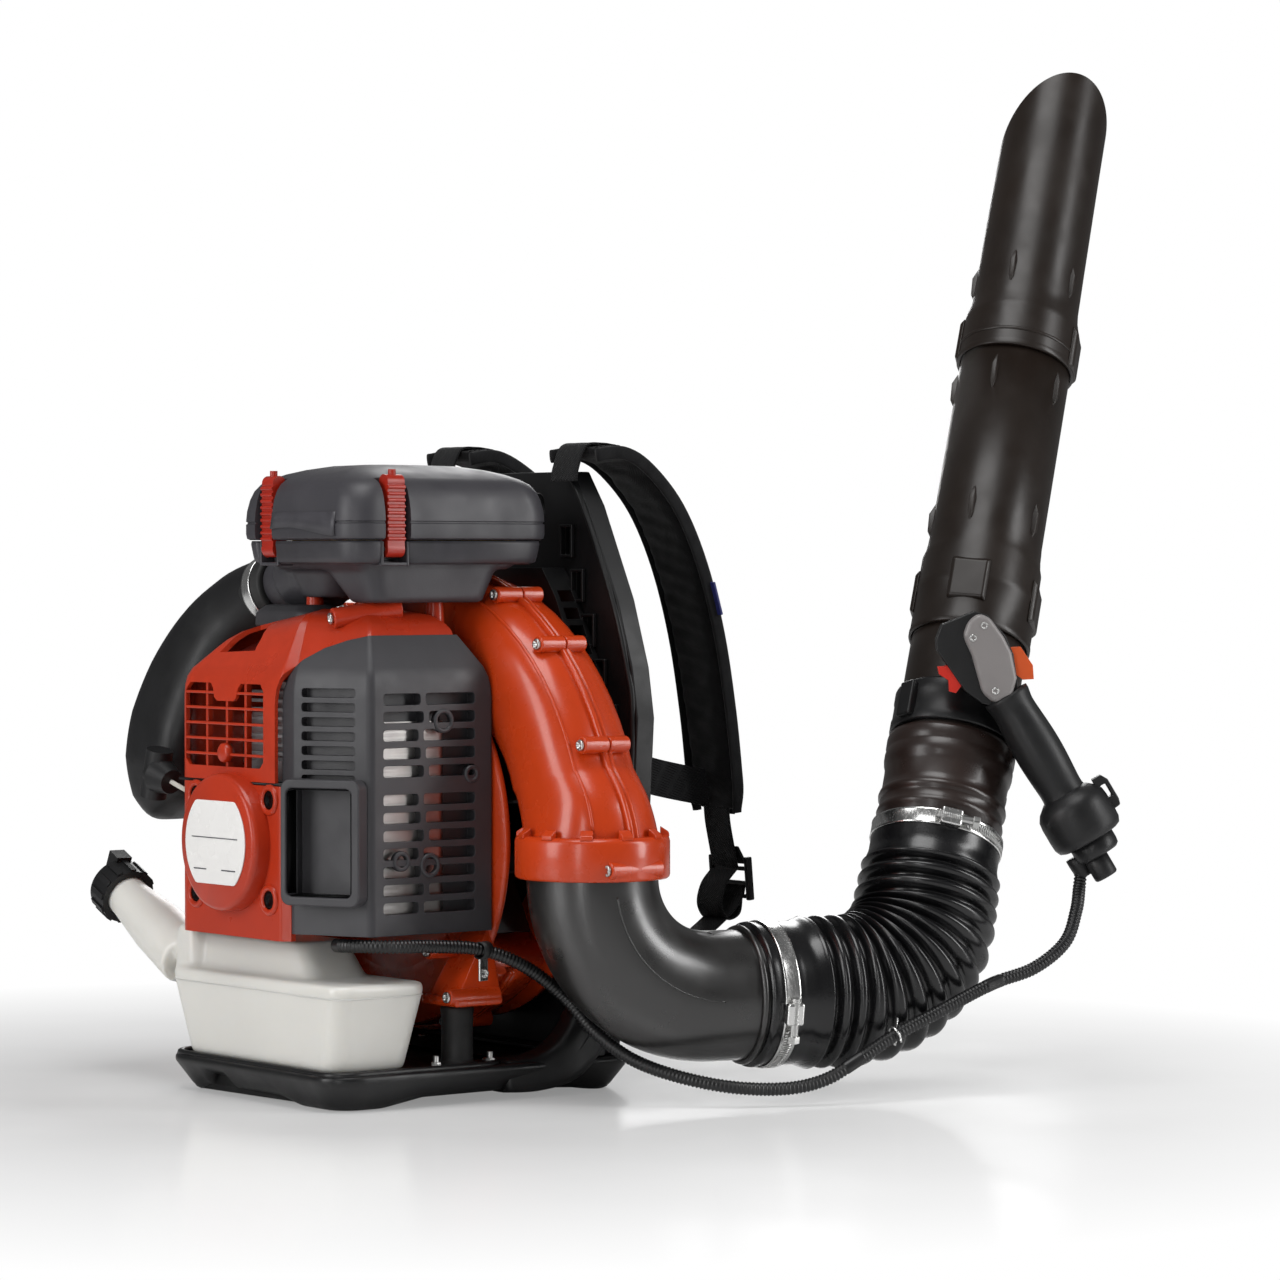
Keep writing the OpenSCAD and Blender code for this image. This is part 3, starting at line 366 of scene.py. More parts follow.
def plastic(name, colour, rough=(0.32, 0.45), grain=900, depth=0.00005, mottle=0.12, rim=1.6,
            coat=0.0, specular=0.5):
    """Moulded plastic: fine grain, uneven gloss, lighter rubbed edges."""
    n = Nodes(name)
    s = n.shader
    patch = n.spread(n.noise(14, 4), 0.3, 0.7, 0, 1)
    base = n.blend(patch, shade(colour, 1 - mottle), shade(colour, 1 + mottle))
    worn = n.times(n.edges(0.52, 0.62), n.spread(n.noise(70, 4), 0.35, 0.7, 0, 1))
    base = n.blend(n.times(worn, 0.5), base, shade(colour, rim))
    n.join(base, s.inputs["Base Color"])
    n.join(n.spread(n.noise(38, 5), 0.3, 0.7, rough[0], rough[1]), s.inputs["Roughness"])
    fine = n.bump(n.noise(grain, 2), 0.35, depth)
    n.join(n.bump(n.noise(22, 3), 0.05, 0.0002, fine), s.inputs["Normal"])
    s.inputs["Specular IOR Level"].default_value = specular
    s.inputs["Coat Weight"].default_value = coat
    s.inputs["Coat Roughness"].default_value = 0.12
    return n.material


def metal(name, colour, rough=(0.2, 0.35), streak=(30, 30, 900), mottle=0.1, cast=0.0):
    """Steel or alloy with fine drawn lines or a cast skin."""
    n = Nodes(name)
    s = n.shader
    s.inputs["Metallic"].default_value = 1.0
    patch = n.spread(n.noise(26, 5), 0.3, 0.7, 0, 1)
    n.join(n.blend(patch, shade(colour, 1 - mottle), shade(colour, 1 + mottle)), s.inputs["Base Color"])
    lines = n.noise(1.0, 3, n.scaled(streak))
    n.join(n.spread(lines, 0.3, 0.7, rough[0], rough[1]), s.inputs["Roughness"])
    normal = n.bump(lines, 0.15, 0.00006)
    if cast:
        normal = n.bump(n.noise(700, 3), cast, 0.0002, normal)
    n.join(normal, s.inputs["Normal"])
    return n.material


def rubber(name, colour, rough=(0.28, 0.42), dust=0.02, coat=0.0):
    n = Nodes(name)
    s = n.shader
    patch = n.spread(n.noise(18, 5), 0.35, 0.75, 0, 1)
    base = n.blend(patch, colour, shade(colour, 1.5))
    dusty = n.times(n.spread(n.noise(45, 6), 0.52, 0.8, 0, 1), 0.35)
    base = n.blend(dusty, base, tuple(x + dust for x in colour))
    n.join(base, s.inputs["Base Color"])
    n.join(n.spread(n.noise(60, 5), 0.3, 0.7, rough[0], rough[1]), s.inputs["Roughness"])
    n.join(n.bump(n.noise(500, 3), 0.2, 0.0001), s.inputs["Normal"])
    s.inputs["Coat Weight"].default_value = coat
    s.inputs["Coat Roughness"].default_value = 0.2
    return n.material


def weave(name, colour, pitch, lift, strength=0.7, sheen=0.08, rough=0.85, along=(0, 0.35, 1)):
    """Woven yarn: two crossed sets of ridges in space, with fuzzy colour changes."""
    n = Nodes(name)
    s = n.shader

    def ridges(direction, count):
        m = n.node("ShaderNodeVectorMath", operation="DOT_PRODUCT")
        n.join(n.place, m.inputs[0])
        m.inputs[1].default_value = direction
        w = n.node("ShaderNodeMath", operation="MULTIPLY")
        n.join(m.outputs["Value"], w.inputs[0])
        w.inputs[1].default_value = TAU * count
        f = n.node("ShaderNodeMath", operation="SINE")
        n.join(w.outputs["Value"], f.inputs[0])
        return f.outputs["Value"]

    a = ridges((1, 0.12, 0), 1 / pitch)
    b = ridges(along, 1 / pitch)
    cross = n.times(a, b)
    yarn = n.spread(cross, -1, 1, 0, 1)
    fuzz = n.noise(1500, 3)
    base = n.blend(yarn, shade(colour, 0.55), shade(colour, 1.35))
    base = n.blend(n.times(n.spread(n.noise(30, 5), 0.4, 0.8, 0, 1), 0.5), base, shade(colour, 2.2))
    n.join(base, s.inputs["Base Color"])
    n.join(n.spread(n.noise(90, 3), 0.3, 0.7, rough - 0.1, min(1, rough + 0.1)), s.inputs["Roughness"])
    normal = n.bump(fuzz, 0.25, lift * 0.5)
    n.join(n.bump(cross, strength, lift, normal), s.inputs["Normal"])
    s.inputs["Sheen Weight"].default_value = sheen
    s.inputs["Sheen Roughness"].default_value = 0.4
    s.inputs["Specular IOR Level"].default_value = 0.2
    return n.material


def milky(name, colour):
    """Translucent moulded tank."""
    n = Nodes(name)
    s = n.shader
    patch = n.spread(n.noise(9, 4), 0.3, 0.7, 0, 1)
    n.join(n.blend(patch, shade(colour, 0.97), shade(colour, 1.03)), s.inputs["Base Color"])
    n.join(n.spread(n.noise(40, 4), 0.3, 0.7, 0.28, 0.4), s.inputs["Roughness"])
    n.join(n.bump(n.noise(300, 3), 0.12, 0.00015), s.inputs["Normal"])
    s.inputs["Subsurface Weight"].default_value = 0.35
    s.inputs["Subsurface Radius"].default_value = (0.02, 0.018, 0.015)
    s.inputs["Subsurface Scale"].default_value = 0.5
    return n.material


orange = plastic("orange_moulding", (0.42, 0.030, 0.0075), (0.26, 0.36), 1100, 0.00003, 0.07, 1.25,
                 coat=0.1, specular=0.35)
volute_orange = plastic("scroll_moulding", (0.50, 0.043, 0.0055), (0.22, 0.32), 1100, 0.00003, 0.07, 1.2,
                        coat=0.2, specular=0.4)
cover_grey = plastic("cover_moulding", (0.034, 0.033, 0.037), (0.42, 0.56), 650, 0.00012, 0.14, 1.9)
filter_grey = plastic("cleaner_moulding", (0.036, 0.0345, 0.040), (0.40, 0.54), 650, 0.00012, 0.14, 1.9)
black = plastic("black_moulding", (0.0065, 0.0065, 0.007), (0.30, 0.46), 800, 0.00008, 0.2, 2.2,
                specular=0.38)
satin_black = plastic("satin_black", (0.0052, 0.0052, 0.0058), (0.38, 0.52), 500, 0.00015, 0.2, 2.2,
                      specular=0.38)
pipe_black = plastic("pipe_moulding", (0.013, 0.0122, 0.0118), (0.26, 0.36), 900, 0.00003, 0.12, 1.5,
                     coat=0.1, specular=0.85)
tube_black = plastic("tube_moulding", (0.0125, 0.0082, 0.0060), (0.30, 0.42), 900, 0.00004, 0.15, 1.6,
                     specular=0.38)
swivel_brown = plastic("swivel_moulding", (0.022, 0.0135, 0.0112), (0.26, 0.38), 800, 0.00005, 0.15, 1.7,
                       coat=0.1)
grip_black = plastic("grip_moulding", (0.0105, 0.0105, 0.011), (0.36, 0.5), 420, 0.0002, 0.15, 1.8,
                     specular=0.38)
head_grey = plastic("head_moulding", (0.23, 0.215, 0.212), (0.30, 0.42), 600, 0.0001, 0.08, 1.25)
trigger_red = plastic("trigger_moulding", (0.70, 0.10, 0.018), (0.30, 0.42), 900, 0.00004, 0.07, 1.2)
switch_red = plastic("switch_moulding", (0.62, 0.022, 0.010), (0.26, 0.38), 900, 0.00004, 0.07, 1.2)
latch_red = plastic("latch_moulding", (0.34, 0.016, 0.006), (0.26, 0.4), 900, 0.00004, 0.08, 1.3)
# Painted shade: a darker copy of the orange moulding, for the cover's scoop
painted_shade_orange = plastic("painted_shade_orange_moulding", (0.16, 0.008, 0.003), (0.3, 0.4), 900, 0.00004, 0.08, 1.2)
# Painted shade: a near-black, barely reflecting finish laid into recesses so they read as deep shade
painted_shade_black = plastic("painted_shade_black", (0.0018, 0.0018, 0.002), (0.30, 0.42), 900, 0.00004, 0.1, 1.2,
                       specular=0.08)
badge_white = plastic("badge_plate", (0.84, 0.83, 0.81), (0.22, 0.34), 1200, 0.00002, 0.03, 1.02, coat=0.2)
badge_line = plastic("badge_line", (0.06, 0.062, 0.075), (0.3, 0.4), 1200, 0.00002, 0.05, 1.1)
tab_blue = plastic("tab_blue", (0.012, 0.016, 0.12), (0.5, 0.7), 1200, 0.0001, 0.2, 1.4)
tank_white = milky("tank_moulding", (0.70, 0.69, 0.65))
bellows_black = rubber("bellows_rubber", (0.0046, 0.0046, 0.0052), (0.20, 0.30), 0.004, coat=0.1)
mount_black = rubber("mount_rubber", (0.006, 0.006, 0.006), (0.5, 0.7))
conduit_black = rubber("conduit_skin", (0.005, 0.005, 0.0054), (0.32, 0.46), 0.012)
clamp_steel = metal("clamp_steel", (0.72, 0.72, 0.71), (0.16, 0.30), (700, 700, 40))
screw_steel = metal("screw_steel", (0.50, 0.50, 0.49), (0.25, 0.4))
cast_alloy = metal("cast_alloy", (0.56, 0.57, 0.58), (0.36, 0.55), cast=0.5)
ground_steel = metal("ground_steel", (0.42, 0.43, 0.44), (0.2, 0.35))
muffler_steel = metal("muffler_steel", (0.34, 0.33, 0.32), (0.3, 0.5), mottle=0.2)
brass = metal("sintered_brass", (0.50, 0.36, 0.15), (0.4, 0.6), cast=0.4)
pad_cloth = weave("pad_cloth", (0.0032, 0.0032, 0.0035), 0.0016, 0.00035)
binding_cloth = weave("binding_cloth", (0.007, 0.007, 0.0076), 0.0011, 0.0002, 0.6)
web_cloth = weave("webbing_cloth", (0.005, 0.005, 0.0056), 0.0022, 0.0004, 0.9, 0.08, 0.7)
rope_cloth = weave("rope_cloth", (0.62, 0.58, 0.50), 0.0014, 0.0003, 0.9)
foam = weave("filter_foam", (0.52, 0.36, 0.12), 0.0018, 0.0003, 0.8)
ceramic = plastic("glazed_ceramic", (0.80, 0.80, 0.77), (0.1, 0.2), 900, 0.00002, 0.03, 1.05, coat=0.5)


# ---------------------------------------------------------------- camera, light, floor
def make_camera():
    data = bpy.data.cameras.new("view")
    data.lens = 125.8
    data.sensor_width = 36
    data.clip_end = 60
    camera = bpy.data.objects.new("view", data)
    scene.collection.objects.link(camera)
    camera.location = (2.961, -2.0695, 0.424)
    heading, pitch = math.radians(52), math.radians(1)
    look = V(-math.sin(heading) * math.cos(pitch), math.cos(heading) * math.cos(pitch), -math.sin(pitch))
    camera.rotation_euler = look.to_track_quat("-Z", "Y").to_euler()
    scene.camera = camera


def area_light(name, place, target, size, power, size_y=None, colour=(1, 1, 1)):
    data = bpy.data.lights.new(name, "AREA")
    data.energy = power
    data.color = colour
    data.size = size
    if size_y:
        data.shape = "RECTANGLE"
        data.size_y = size_y
    lamp = bpy.data.objects.new(name, data)
    scene.collection.objects.link(lamp)
    lamp.location = place
    lamp.visible_camera = False
    lamp.rotation_euler = (Vector(target) - Vector(place)).to_track_quat("-Z", "Y").to_euler()


def make_studio():
    world = bpy.data.worlds.new("studio")
    scene.world = world
    world.use_nodes = True
    tree = world.node_tree
    fill = tree.nodes["Background"]
    fill.inputs["Color"].default_value = (1, 1, 1, 1)
    fill.inputs["Strength"].default_value = 0.14
    seen = tree.nodes.new("ShaderNodeBackground")
    seen.inputs["Color"].default_value = (1, 1, 1, 1)
    rays = tree.nodes.new("ShaderNodeLightPath")
    pick = tree.nodes.new("ShaderNodeMixShader")
    tree.links.new(rays.outputs["Is Camera Ray"], pick.inputs["Fac"])
    tree.links.new(fill.outputs["Background"], pick.inputs[1])
    tree.links.new(seen.outputs["Background"], pick.inputs[2])
    tree.links.new(pick.outputs["Shader"], tree.nodes["World Output"].inputs["Surface"])
    scene.view_settings.view_transform = "Standard"
    middle = (0.05, 0.1, 0.35)
    area_light("left_box", (-0.2, -2.5, 1.1), middle, 0.9, 32, 1.9)
    area_light("front_strip", (1.9, -2.7, 0.9), middle, 0.4, 15, 1.9)
    area_light("right_box", (2.3, 1.9, 1.2), middle, 0.7, 44, 2.2)
    area_light("top_box", (0.5, -0.4, 2.5), middle, 1.3, 30, 1.3)
    area_light("back_box", (-2.2, 2.2, 1.6), middle, 0.9, 30, 1.9)
    bm = bmesh.new()
    bmesh.ops.create_grid(bm, x_segments=8, y_segments=8, size=12)
    mesh = bpy.data.meshes.new("floor")
    bm.to_mesh(mesh)
    bm.free()
    floor = link("floor", mesh, False)
    floor.location.z = -0.0004
    n = Nodes("floor_paper")
    n.join(n.blend(n.spread(n.noise(3, 3), 0.3, 0.7, 0, 1), (0.86, 0.86, 0.86), (0.90, 0.90, 0.90)),
           n.shader.inputs["Base Color"])
    n.join(n.spread(n.noise(5, 3), 0.3, 0.7, 0.14, 0.2), n.shader.inputs["Roughness"])
    # The sweep fades to plain white away from the object
    distance = n.node("ShaderNodeVectorMath", operation="LENGTH")
    n.join(n.place, distance.inputs[0])
    glow = n.node("ShaderNodeEmission")
    glow.inputs["Color"].default_value = (1, 1, 1, 1)
    fade = n.node("ShaderNodeMixShader")
    rays = n.node("ShaderNodeLightPath")
    n.join(n.times(n.spread(distance.outputs["Value"], 0.3, 0.95, 0.25, 1), rays.outputs["Is Camera Ray"]),
           fade.inputs["Fac"])
    n.join(n.shader.outputs["BSDF"], fade.inputs[1])
    n.join(glow.outputs["Emission"], fade.inputs[2])
    n.join(fade.outputs["Shader"], n.tree.nodes["Material Output"].inputs["Surface"])
    mesh.materials.append(n.material)


make_camera()
make_studio()


# ---------------------------------------------------------------- places shared by the parts
def turn(axis, degrees):
    return Matrix.Rotation(math.radians(degrees), 4, axis)


def aim(lean, heading):
    a, b = math.radians(heading), math.radians(lean)
    return V(math.sin(b) * math.cos(a), math.sin(b) * math.sin(a), math.cos(b))


OUTLET = V(193, 46, 178)
ELBOW_R = 96
ELBOW_C = OUTLET - V(0, 0, ELBOW_R)
HEAD = 73.9
CUFF = 50
LEG = 129
BEND_R = 85
HOSE_D = aim(90, HEAD)
TUBE_LEAN, TUBE_HEADING = 27.2, 118.8
TUBE_D = aim(TUBE_LEAN, TUBE_HEADING)
HOSE_START = ELBOW_C + (ELBOW_R + CUFF) * HOSE_D
CORNER = HOSE_START + LEG * HOSE_D
TUBE_BASE = CORNER + LEG * TUBE_D
BEND = HOSE_D.angle(TUBE_D)
INWARD = (TUBE_D - math.cos(BEND) * HOSE_D) / math.sin(BEND)
STRAIGHT = LEG - BEND_R * math.tan(BEND / 2)
BEND_START = HOSE_START + STRAIGHT * HOSE_D
BEND_C = BEND_START + BEND_R * INWARD
ARC = BEND_R * BEND
HOSE_LEN = 2 * STRAIGHT + ARC
ACROSS = HOSE_D.cross(INWARD)


def hose_turn(s):
    return max(0, min(BEND, (s - STRAIGHT) / BEND_R))


def hose_dir(s):
    return math.cos(hose_turn(s)) * HOSE_D + math.sin(hose_turn(s)) * INWARD


def hose_at(s):
    if s < STRAIGHT:
        return HOSE_START + s * HOSE_D
    if s > STRAIGHT + ARC:
        return TUBE_BASE + (s - HOSE_LEN) * TUBE_D
    a = hose_turn(s)
    return BEND_C + BEND_R * (math.sin(a) * HOSE_D - math.cos(a) * INWARD)


roll = math.degrees(math.atan2(INWARD.dot(V(-math.sin(math.radians(HEAD)), math.cos(math.radians(HEAD)), 0)),
                               -INWARD.z))
AT_HOSE = Matrix.Translation(HOSE_START) @ turn("Z", HEAD) @ turn("Y", 90) @ turn("Z", roll)
AT_TUBE = Matrix.Translation(TUBE_BASE) @ turn("Z", TUBE_HEADING) @ turn("Y", TUBE_LEAN)
AT_HANDLE = Matrix.Translation(V(322, 438, 223)) @ turn("Z", 230.5) @ turn("Y", 30.5) @ turn("Z", 180)
AT_HORN = Matrix.Translation(V(-28, -60, 418)) @ turn("Y", -104)
CRANK = V(-20, 0, 203)
TUBE_R = 48


# ---------------------------------------------------------------- elbow, hose, clamps
def make_elbow():
    path = [OUTLET + V(0, 0, z) for z in (30, 22, 10, 0)]
    for i in range(1, 36):
        a = math.radians(90) * i / 36
        side = V(HOSE_D.x, HOSE_D.y, 0)
        path.append(ELBOW_C + ELBOW_R * side + ELBOW_R * V(0, 0, 1) * 0
                    - ELBOW_R * math.cos(a) * side + V(0, 0, ELBOW_R * (1 - math.sin(a))))
    for s in (0, 20, 36, 40, 44, 52, 62):
        path.append(ELBOW_C + (ELBOW_R + s) * HOSE_D)
    obj = sweep("elbow_pipe", path, lambda i: 52.0 - (0.5 if i < len(path) - 4 else 0), 96)
    wear(obj, pipe_black, "root", "pipe_grey", "elbow")
    bead = revolve("elbow_bead", [(51, 28), (54.6, 29), (55.2, 31), (54.6, 33), (51, 34)], AT_HOSE
                   @ Matrix.Translation(V(0, 0, -52)), 96)
    wear(bead, pipe_black, "root", "pipe_grey")
    # Mould seam along the outside of the bend
    for sign in (-1, 1):
        seam = []
        for i in range(3, 37):
            a = math.radians(90) * i / 37
            side = V(HOSE_D.x, HOSE_D.y, 0)
            c = ELBOW_C + ELBOW_R * side - ELBOW_R * math.cos(a) * side + V(0, 0, ELBOW_R * (1 - math.sin(a)))
            seam.append(c + sign * 51.4 * V(-HOSE_D.y, HOSE_D.x, 0))
        wear(sweep(f"elbow_seam_{'ab'[sign > 0]}", seam, 0.7, 8), pipe_black, "root", "pipe_grey")


def worm_clamp(name, matrix, d, body, angle=0, width=13):
    """Band with slots, screw housing and hex-head screw."""
    m = matrix @ turn("Z", angle)
    r, w = d / 2, width / 2
    band = revolve(name + "_band", [(r, -w), (r + 0.5, -w - 0.2), (r + 1.3, -w + 0.3), (r + 1.0, -w + 1.6),
                                    (r + 1.0, w - 1.6),
                                    (r + 1.3, w - 0.3), (r + 0.5, w + 0.2), (r, w)], m, 120)
    wear(band, clamp_steel, body, "clamp_steel")
    # Slots pressed into the band beside the housing
    slots = []
    for i in range(26):
        a = math.radians(180 + 16 + 2.7 * i)
        slot_m = m @ Matrix.Rotation(a, 4, "Z") @ Matrix.Translation(V(r + 1.25, 0, 0)) @ turn("X", 14)
        slots.append(block(f"{name}_s{i}", (-0.45, -0.8, -w * 0.62), (0.35, 0.8, w * 0.62), slot_m))
    marks = join(name + "_slots", slots)
    wear(marks, screw_steel, body, "clamp_steel")
    box_m = m @ Matrix.Translation(V(-r - 1, 0, 0))
    housing = block(name + "_housing", (-7, -9, -w - 0.8), (0.6, 9, w + 0.8), box_m)
    wear(soften(housing, 2.2, 3), clamp_steel, body, "clamp_steel")
    p = box_m @ V(-3.6, -18, 0)
    q = box_m @ V(-3.6, 13, 0)
    screw = rod(name + "_screw", p, q, 3.6)
    ridge = [rod(f"{name}_t{i}", box_m @ V(-3.6, -8 + 1.7 * i, 0), box_m @ V(-3.6, -7.2 + 1.7 * i, 0), 4.1,
                 24)
             for i in range(12)]
    head = rod(name + "_head", box_m @ V(-3.6, -23, 0), box_m @ V(-3.6, -17.5, 0), 5.2, 6)
    wear(soften(join(name + "_worm", [screw, head, *ridge]), 0.3, 2), screw_steel, body, "clamp_steel")


def hose_piece(name, s0, s1):
    """Part of the bellows between two lengths along it."""
    sides = 80
    stations = []
    first, last, folds = 33.0, HOSE_LEN - 30, 13
    pitch = (last - first) / folds
    s = s0
    while s < s1 + 1e-6:
        stations.append(s)
        step = pitch / 12 if first - 6 < s < last + 2 else 3
        s += step
    if stations[-1] < s1:
        stations.append(s1)
    loops = []
    for s in stations:
        if s < first:
            r = 56.8 + 0.6 * math.exp(-((s - 8) / 2) ** 2) + 1.1 * math.exp(-((s + 14) / 2.0) ** 2)
            k = max(0, (s - 21) / (first - 21))
            r = r + (60.0 - r) * k * k * (3 - 2 * k)
        elif s > last:
            k = min(1, (s - last) / 12)
            r = 55.0 + (52.9 - 55.0) * k * k * (3 - 2 * k) + 0.9 * math.exp(-((s - HOSE_LEN - 3) / 2) ** 2)
        else:
            phase = (s - first) / pitch
            wave = abs(math.cos(math.pi * phase))
            crest = 60.9 - 3.6 * max(0, (s - first) / (last - first) - 0.55) / 0.45
            r = crest - 10.5 * (1 - wave ** 0.75)
        c, f = hose_at(s), hose_dir(s)
        u = ACROSS.cross(f)
        loops.append([c + r * (math.cos(TAU * k / sides) * ACROSS + math.sin(TAU * k / sides) * u)
                      for k in range(sides)])
    obj = loft(name, loops)
    obj.data.materials.append(bellows_black)
    return obj


def make_hose():
    edges = [-16, STRAIGHT + 0.375 * ARC, STRAIGHT + 0.625 * ARC, HOSE_LEN + 7]
    pairs = [("root", "hose_lower"), ("hose_lower", "hose_mid"), ("hose_mid", "hose_end")]
    for i, (a, b) in enumerate(pairs):
        obj = hose_piece(f"bellows_{i + 1}", edges[i], edges[i + 1])
        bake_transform(obj)
        if i == 0:
            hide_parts("bellows")
    worm_clamp("lower_clamp", AT_HOSE, 114.2, "root", -60)
    worm_clamp("horn_clamp", AT_HORN @ Matrix.Translation(V(0, 0, 68)), 56.0, "root", 180, 11)
    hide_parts("root_clamps")
    worm_clamp("upper_clamp", AT_TUBE, 105.8, "hose_end", 30)
    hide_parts("upper_clamp")


# ---------------------------------------------------------------- throttle conduit and its wire guide
ROUTE = [
    (80, -118, 126), (104, -118, 127), (126, -100, 127), (132, -60, 125.5), (138, -24, 122),
    (146, 4, 112), (151.6, 27.7, 97.7), (157.1, 50.6, 77.6), (172.2, 64.1, 54.8), (204.3, 75, 35.6),
    (240, 92, 24), (272, 122, 16), (292, 160, 14), (304, 190, 20), (312, 216, 34),
    (318, 250, 52), (324.7, 291.5, 69), (330, 342, 88), (338, 380, 99), (340, 412, 118),
    (334, 430, 142), (324, 443, 160), (322, 447, 176),
]
CONDUIT_R = 5.3


def make_conduit():
    line = curve_through([V(*p) for p in ROUTE], 24)
    # Even steps along the curve
    total = [0.0]
    for a, b in zip(line, line[1:]):
        total.append(total[-1] + (b - a).length)

    def at(s):
        lo, hi = 0, len(total) - 1
        while hi - lo > 1:
            mid = (lo + hi) // 2
            lo, hi = (mid, hi) if total[mid] <= s else (lo, mid)
        k = (s - total[lo]) / max(1e-6, total[hi] - total[lo])
        return line[lo].lerp(line[hi], k)

    step = 0.78
    count = int(total[-1] / step)
    points = [at(min(total[-1], i * total[-1] / count)) for i in range(count + 1)]

    def index_near(p):
        p = V(*p)
        return min(range(count + 1), key=lambda i: (points[i] - p).length)

    # First stretch rides the machine; the rest, listed with the bodies at their ends, are left fixed where
    # they are drawn
    spans = [("root", None, 0, index_near(ROUTE[13])),
             ("root", "hose_lower", index_near(ROUTE[13]), index_near(ROUTE[15])),
             ("hose_lower", "hose_mid", index_near(ROUTE[15]), index_near(ROUTE[16])),
             ("hose_mid", "hose_end", index_near(ROUTE[16]), index_near(ROUTE[18])),
             ("hose_end", "tube", index_near(ROUTE[18]), count)]
    plain = [(index_near(ROUTE[14]) - 14, index_near(ROUTE[14]) + 6),
             (index_near(ROUTE[17]) - 8, index_near(ROUTE[17]) + 10)]
    all_frames = frames_along(points)
    for number, (a, b, i0, i1) in enumerate(spans):
        loops = []
        for i in range(i0, i1 + 1):
            p, s, u, d = all_frames[i]
            smooth = any(x <= i <= y for x, y in plain) or i < 14 or i > count - 8
            r = CONDUIT_R + (0.05 if smooth else (0.0, -0.05, -0.75, -0.75)[i % 4])
            loops.append([p + r * (math.cos(TAU * k / 18) * s + math.sin(TAU * k / 18) * u)
                          for k in range(18)])
        obj = loft(f"conduit_{number + 1}", loops)
        obj.data.materials.append(conduit_black)
        if b is None:
            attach(obj, a)
            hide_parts("throttle_conduit")
        else:
            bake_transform(obj)
    # Wire guide: an eye round the conduit, with its two ends at the folds
    g = V(*ROUTE[15])
    d = (V(*ROUTE[16]) - V(*ROUTE[14])).normalized()
    side = V(0, 0, 1).cross(d).normalized()
    up = d.cross(side)
    wire = []
    for k in range(0, 15):
        a = math.radians(-60 + 20 * k)
        wire.append(g + 7.0 * (math.cos(a) * side + math.sin(a) * up))
    axis = hose_at(STRAIGHT + 0.44 * ARC)
    out = (g - axis).normalized()
    path = curve_through([axis + 59 * out + 26 * V(0, 0, 1) + 6 * d, *wire, axis + 62.4 * out
                          + 2 * d - 6 * V(0, 0, 1),
                          axis + 62 * out + 8 * d + 2 * V(0, 0, 1)], 4)
    wear(sweep("guide_wire", path, 0.9, 10), clamp_steel, "hose_lower", "clamp_steel", "cable_guide")


# ---------------------------------------------------------------- blower tubes
def tooth(name, r, angle, z):
    m = AT_TUBE @ turn("Z", angle)
    pts = []
    for zz, h, w in ((0, 0.0, 0.6), (7, 3.6, 2.2), (22, 4.6, 2.6), (34, 0.0, 0.8)):
        for y in (-w, w):
            pts.append(m @ V(r - 1.6, y * 1.3, z + zz))
            pts.append(m @ V(r + h - 0.2, y * 0.8, z + zz))
    return soften(hull(name, pts), 0.8, 2)


def tooth_ring(name, r, z, count, body):
    parts = [tooth(f"{name}_{i}", r, 360 * (i + 0.5) / count, z) for i in range(count)]
    wear(join(name, parts), tube_black, body, "tube_brown")


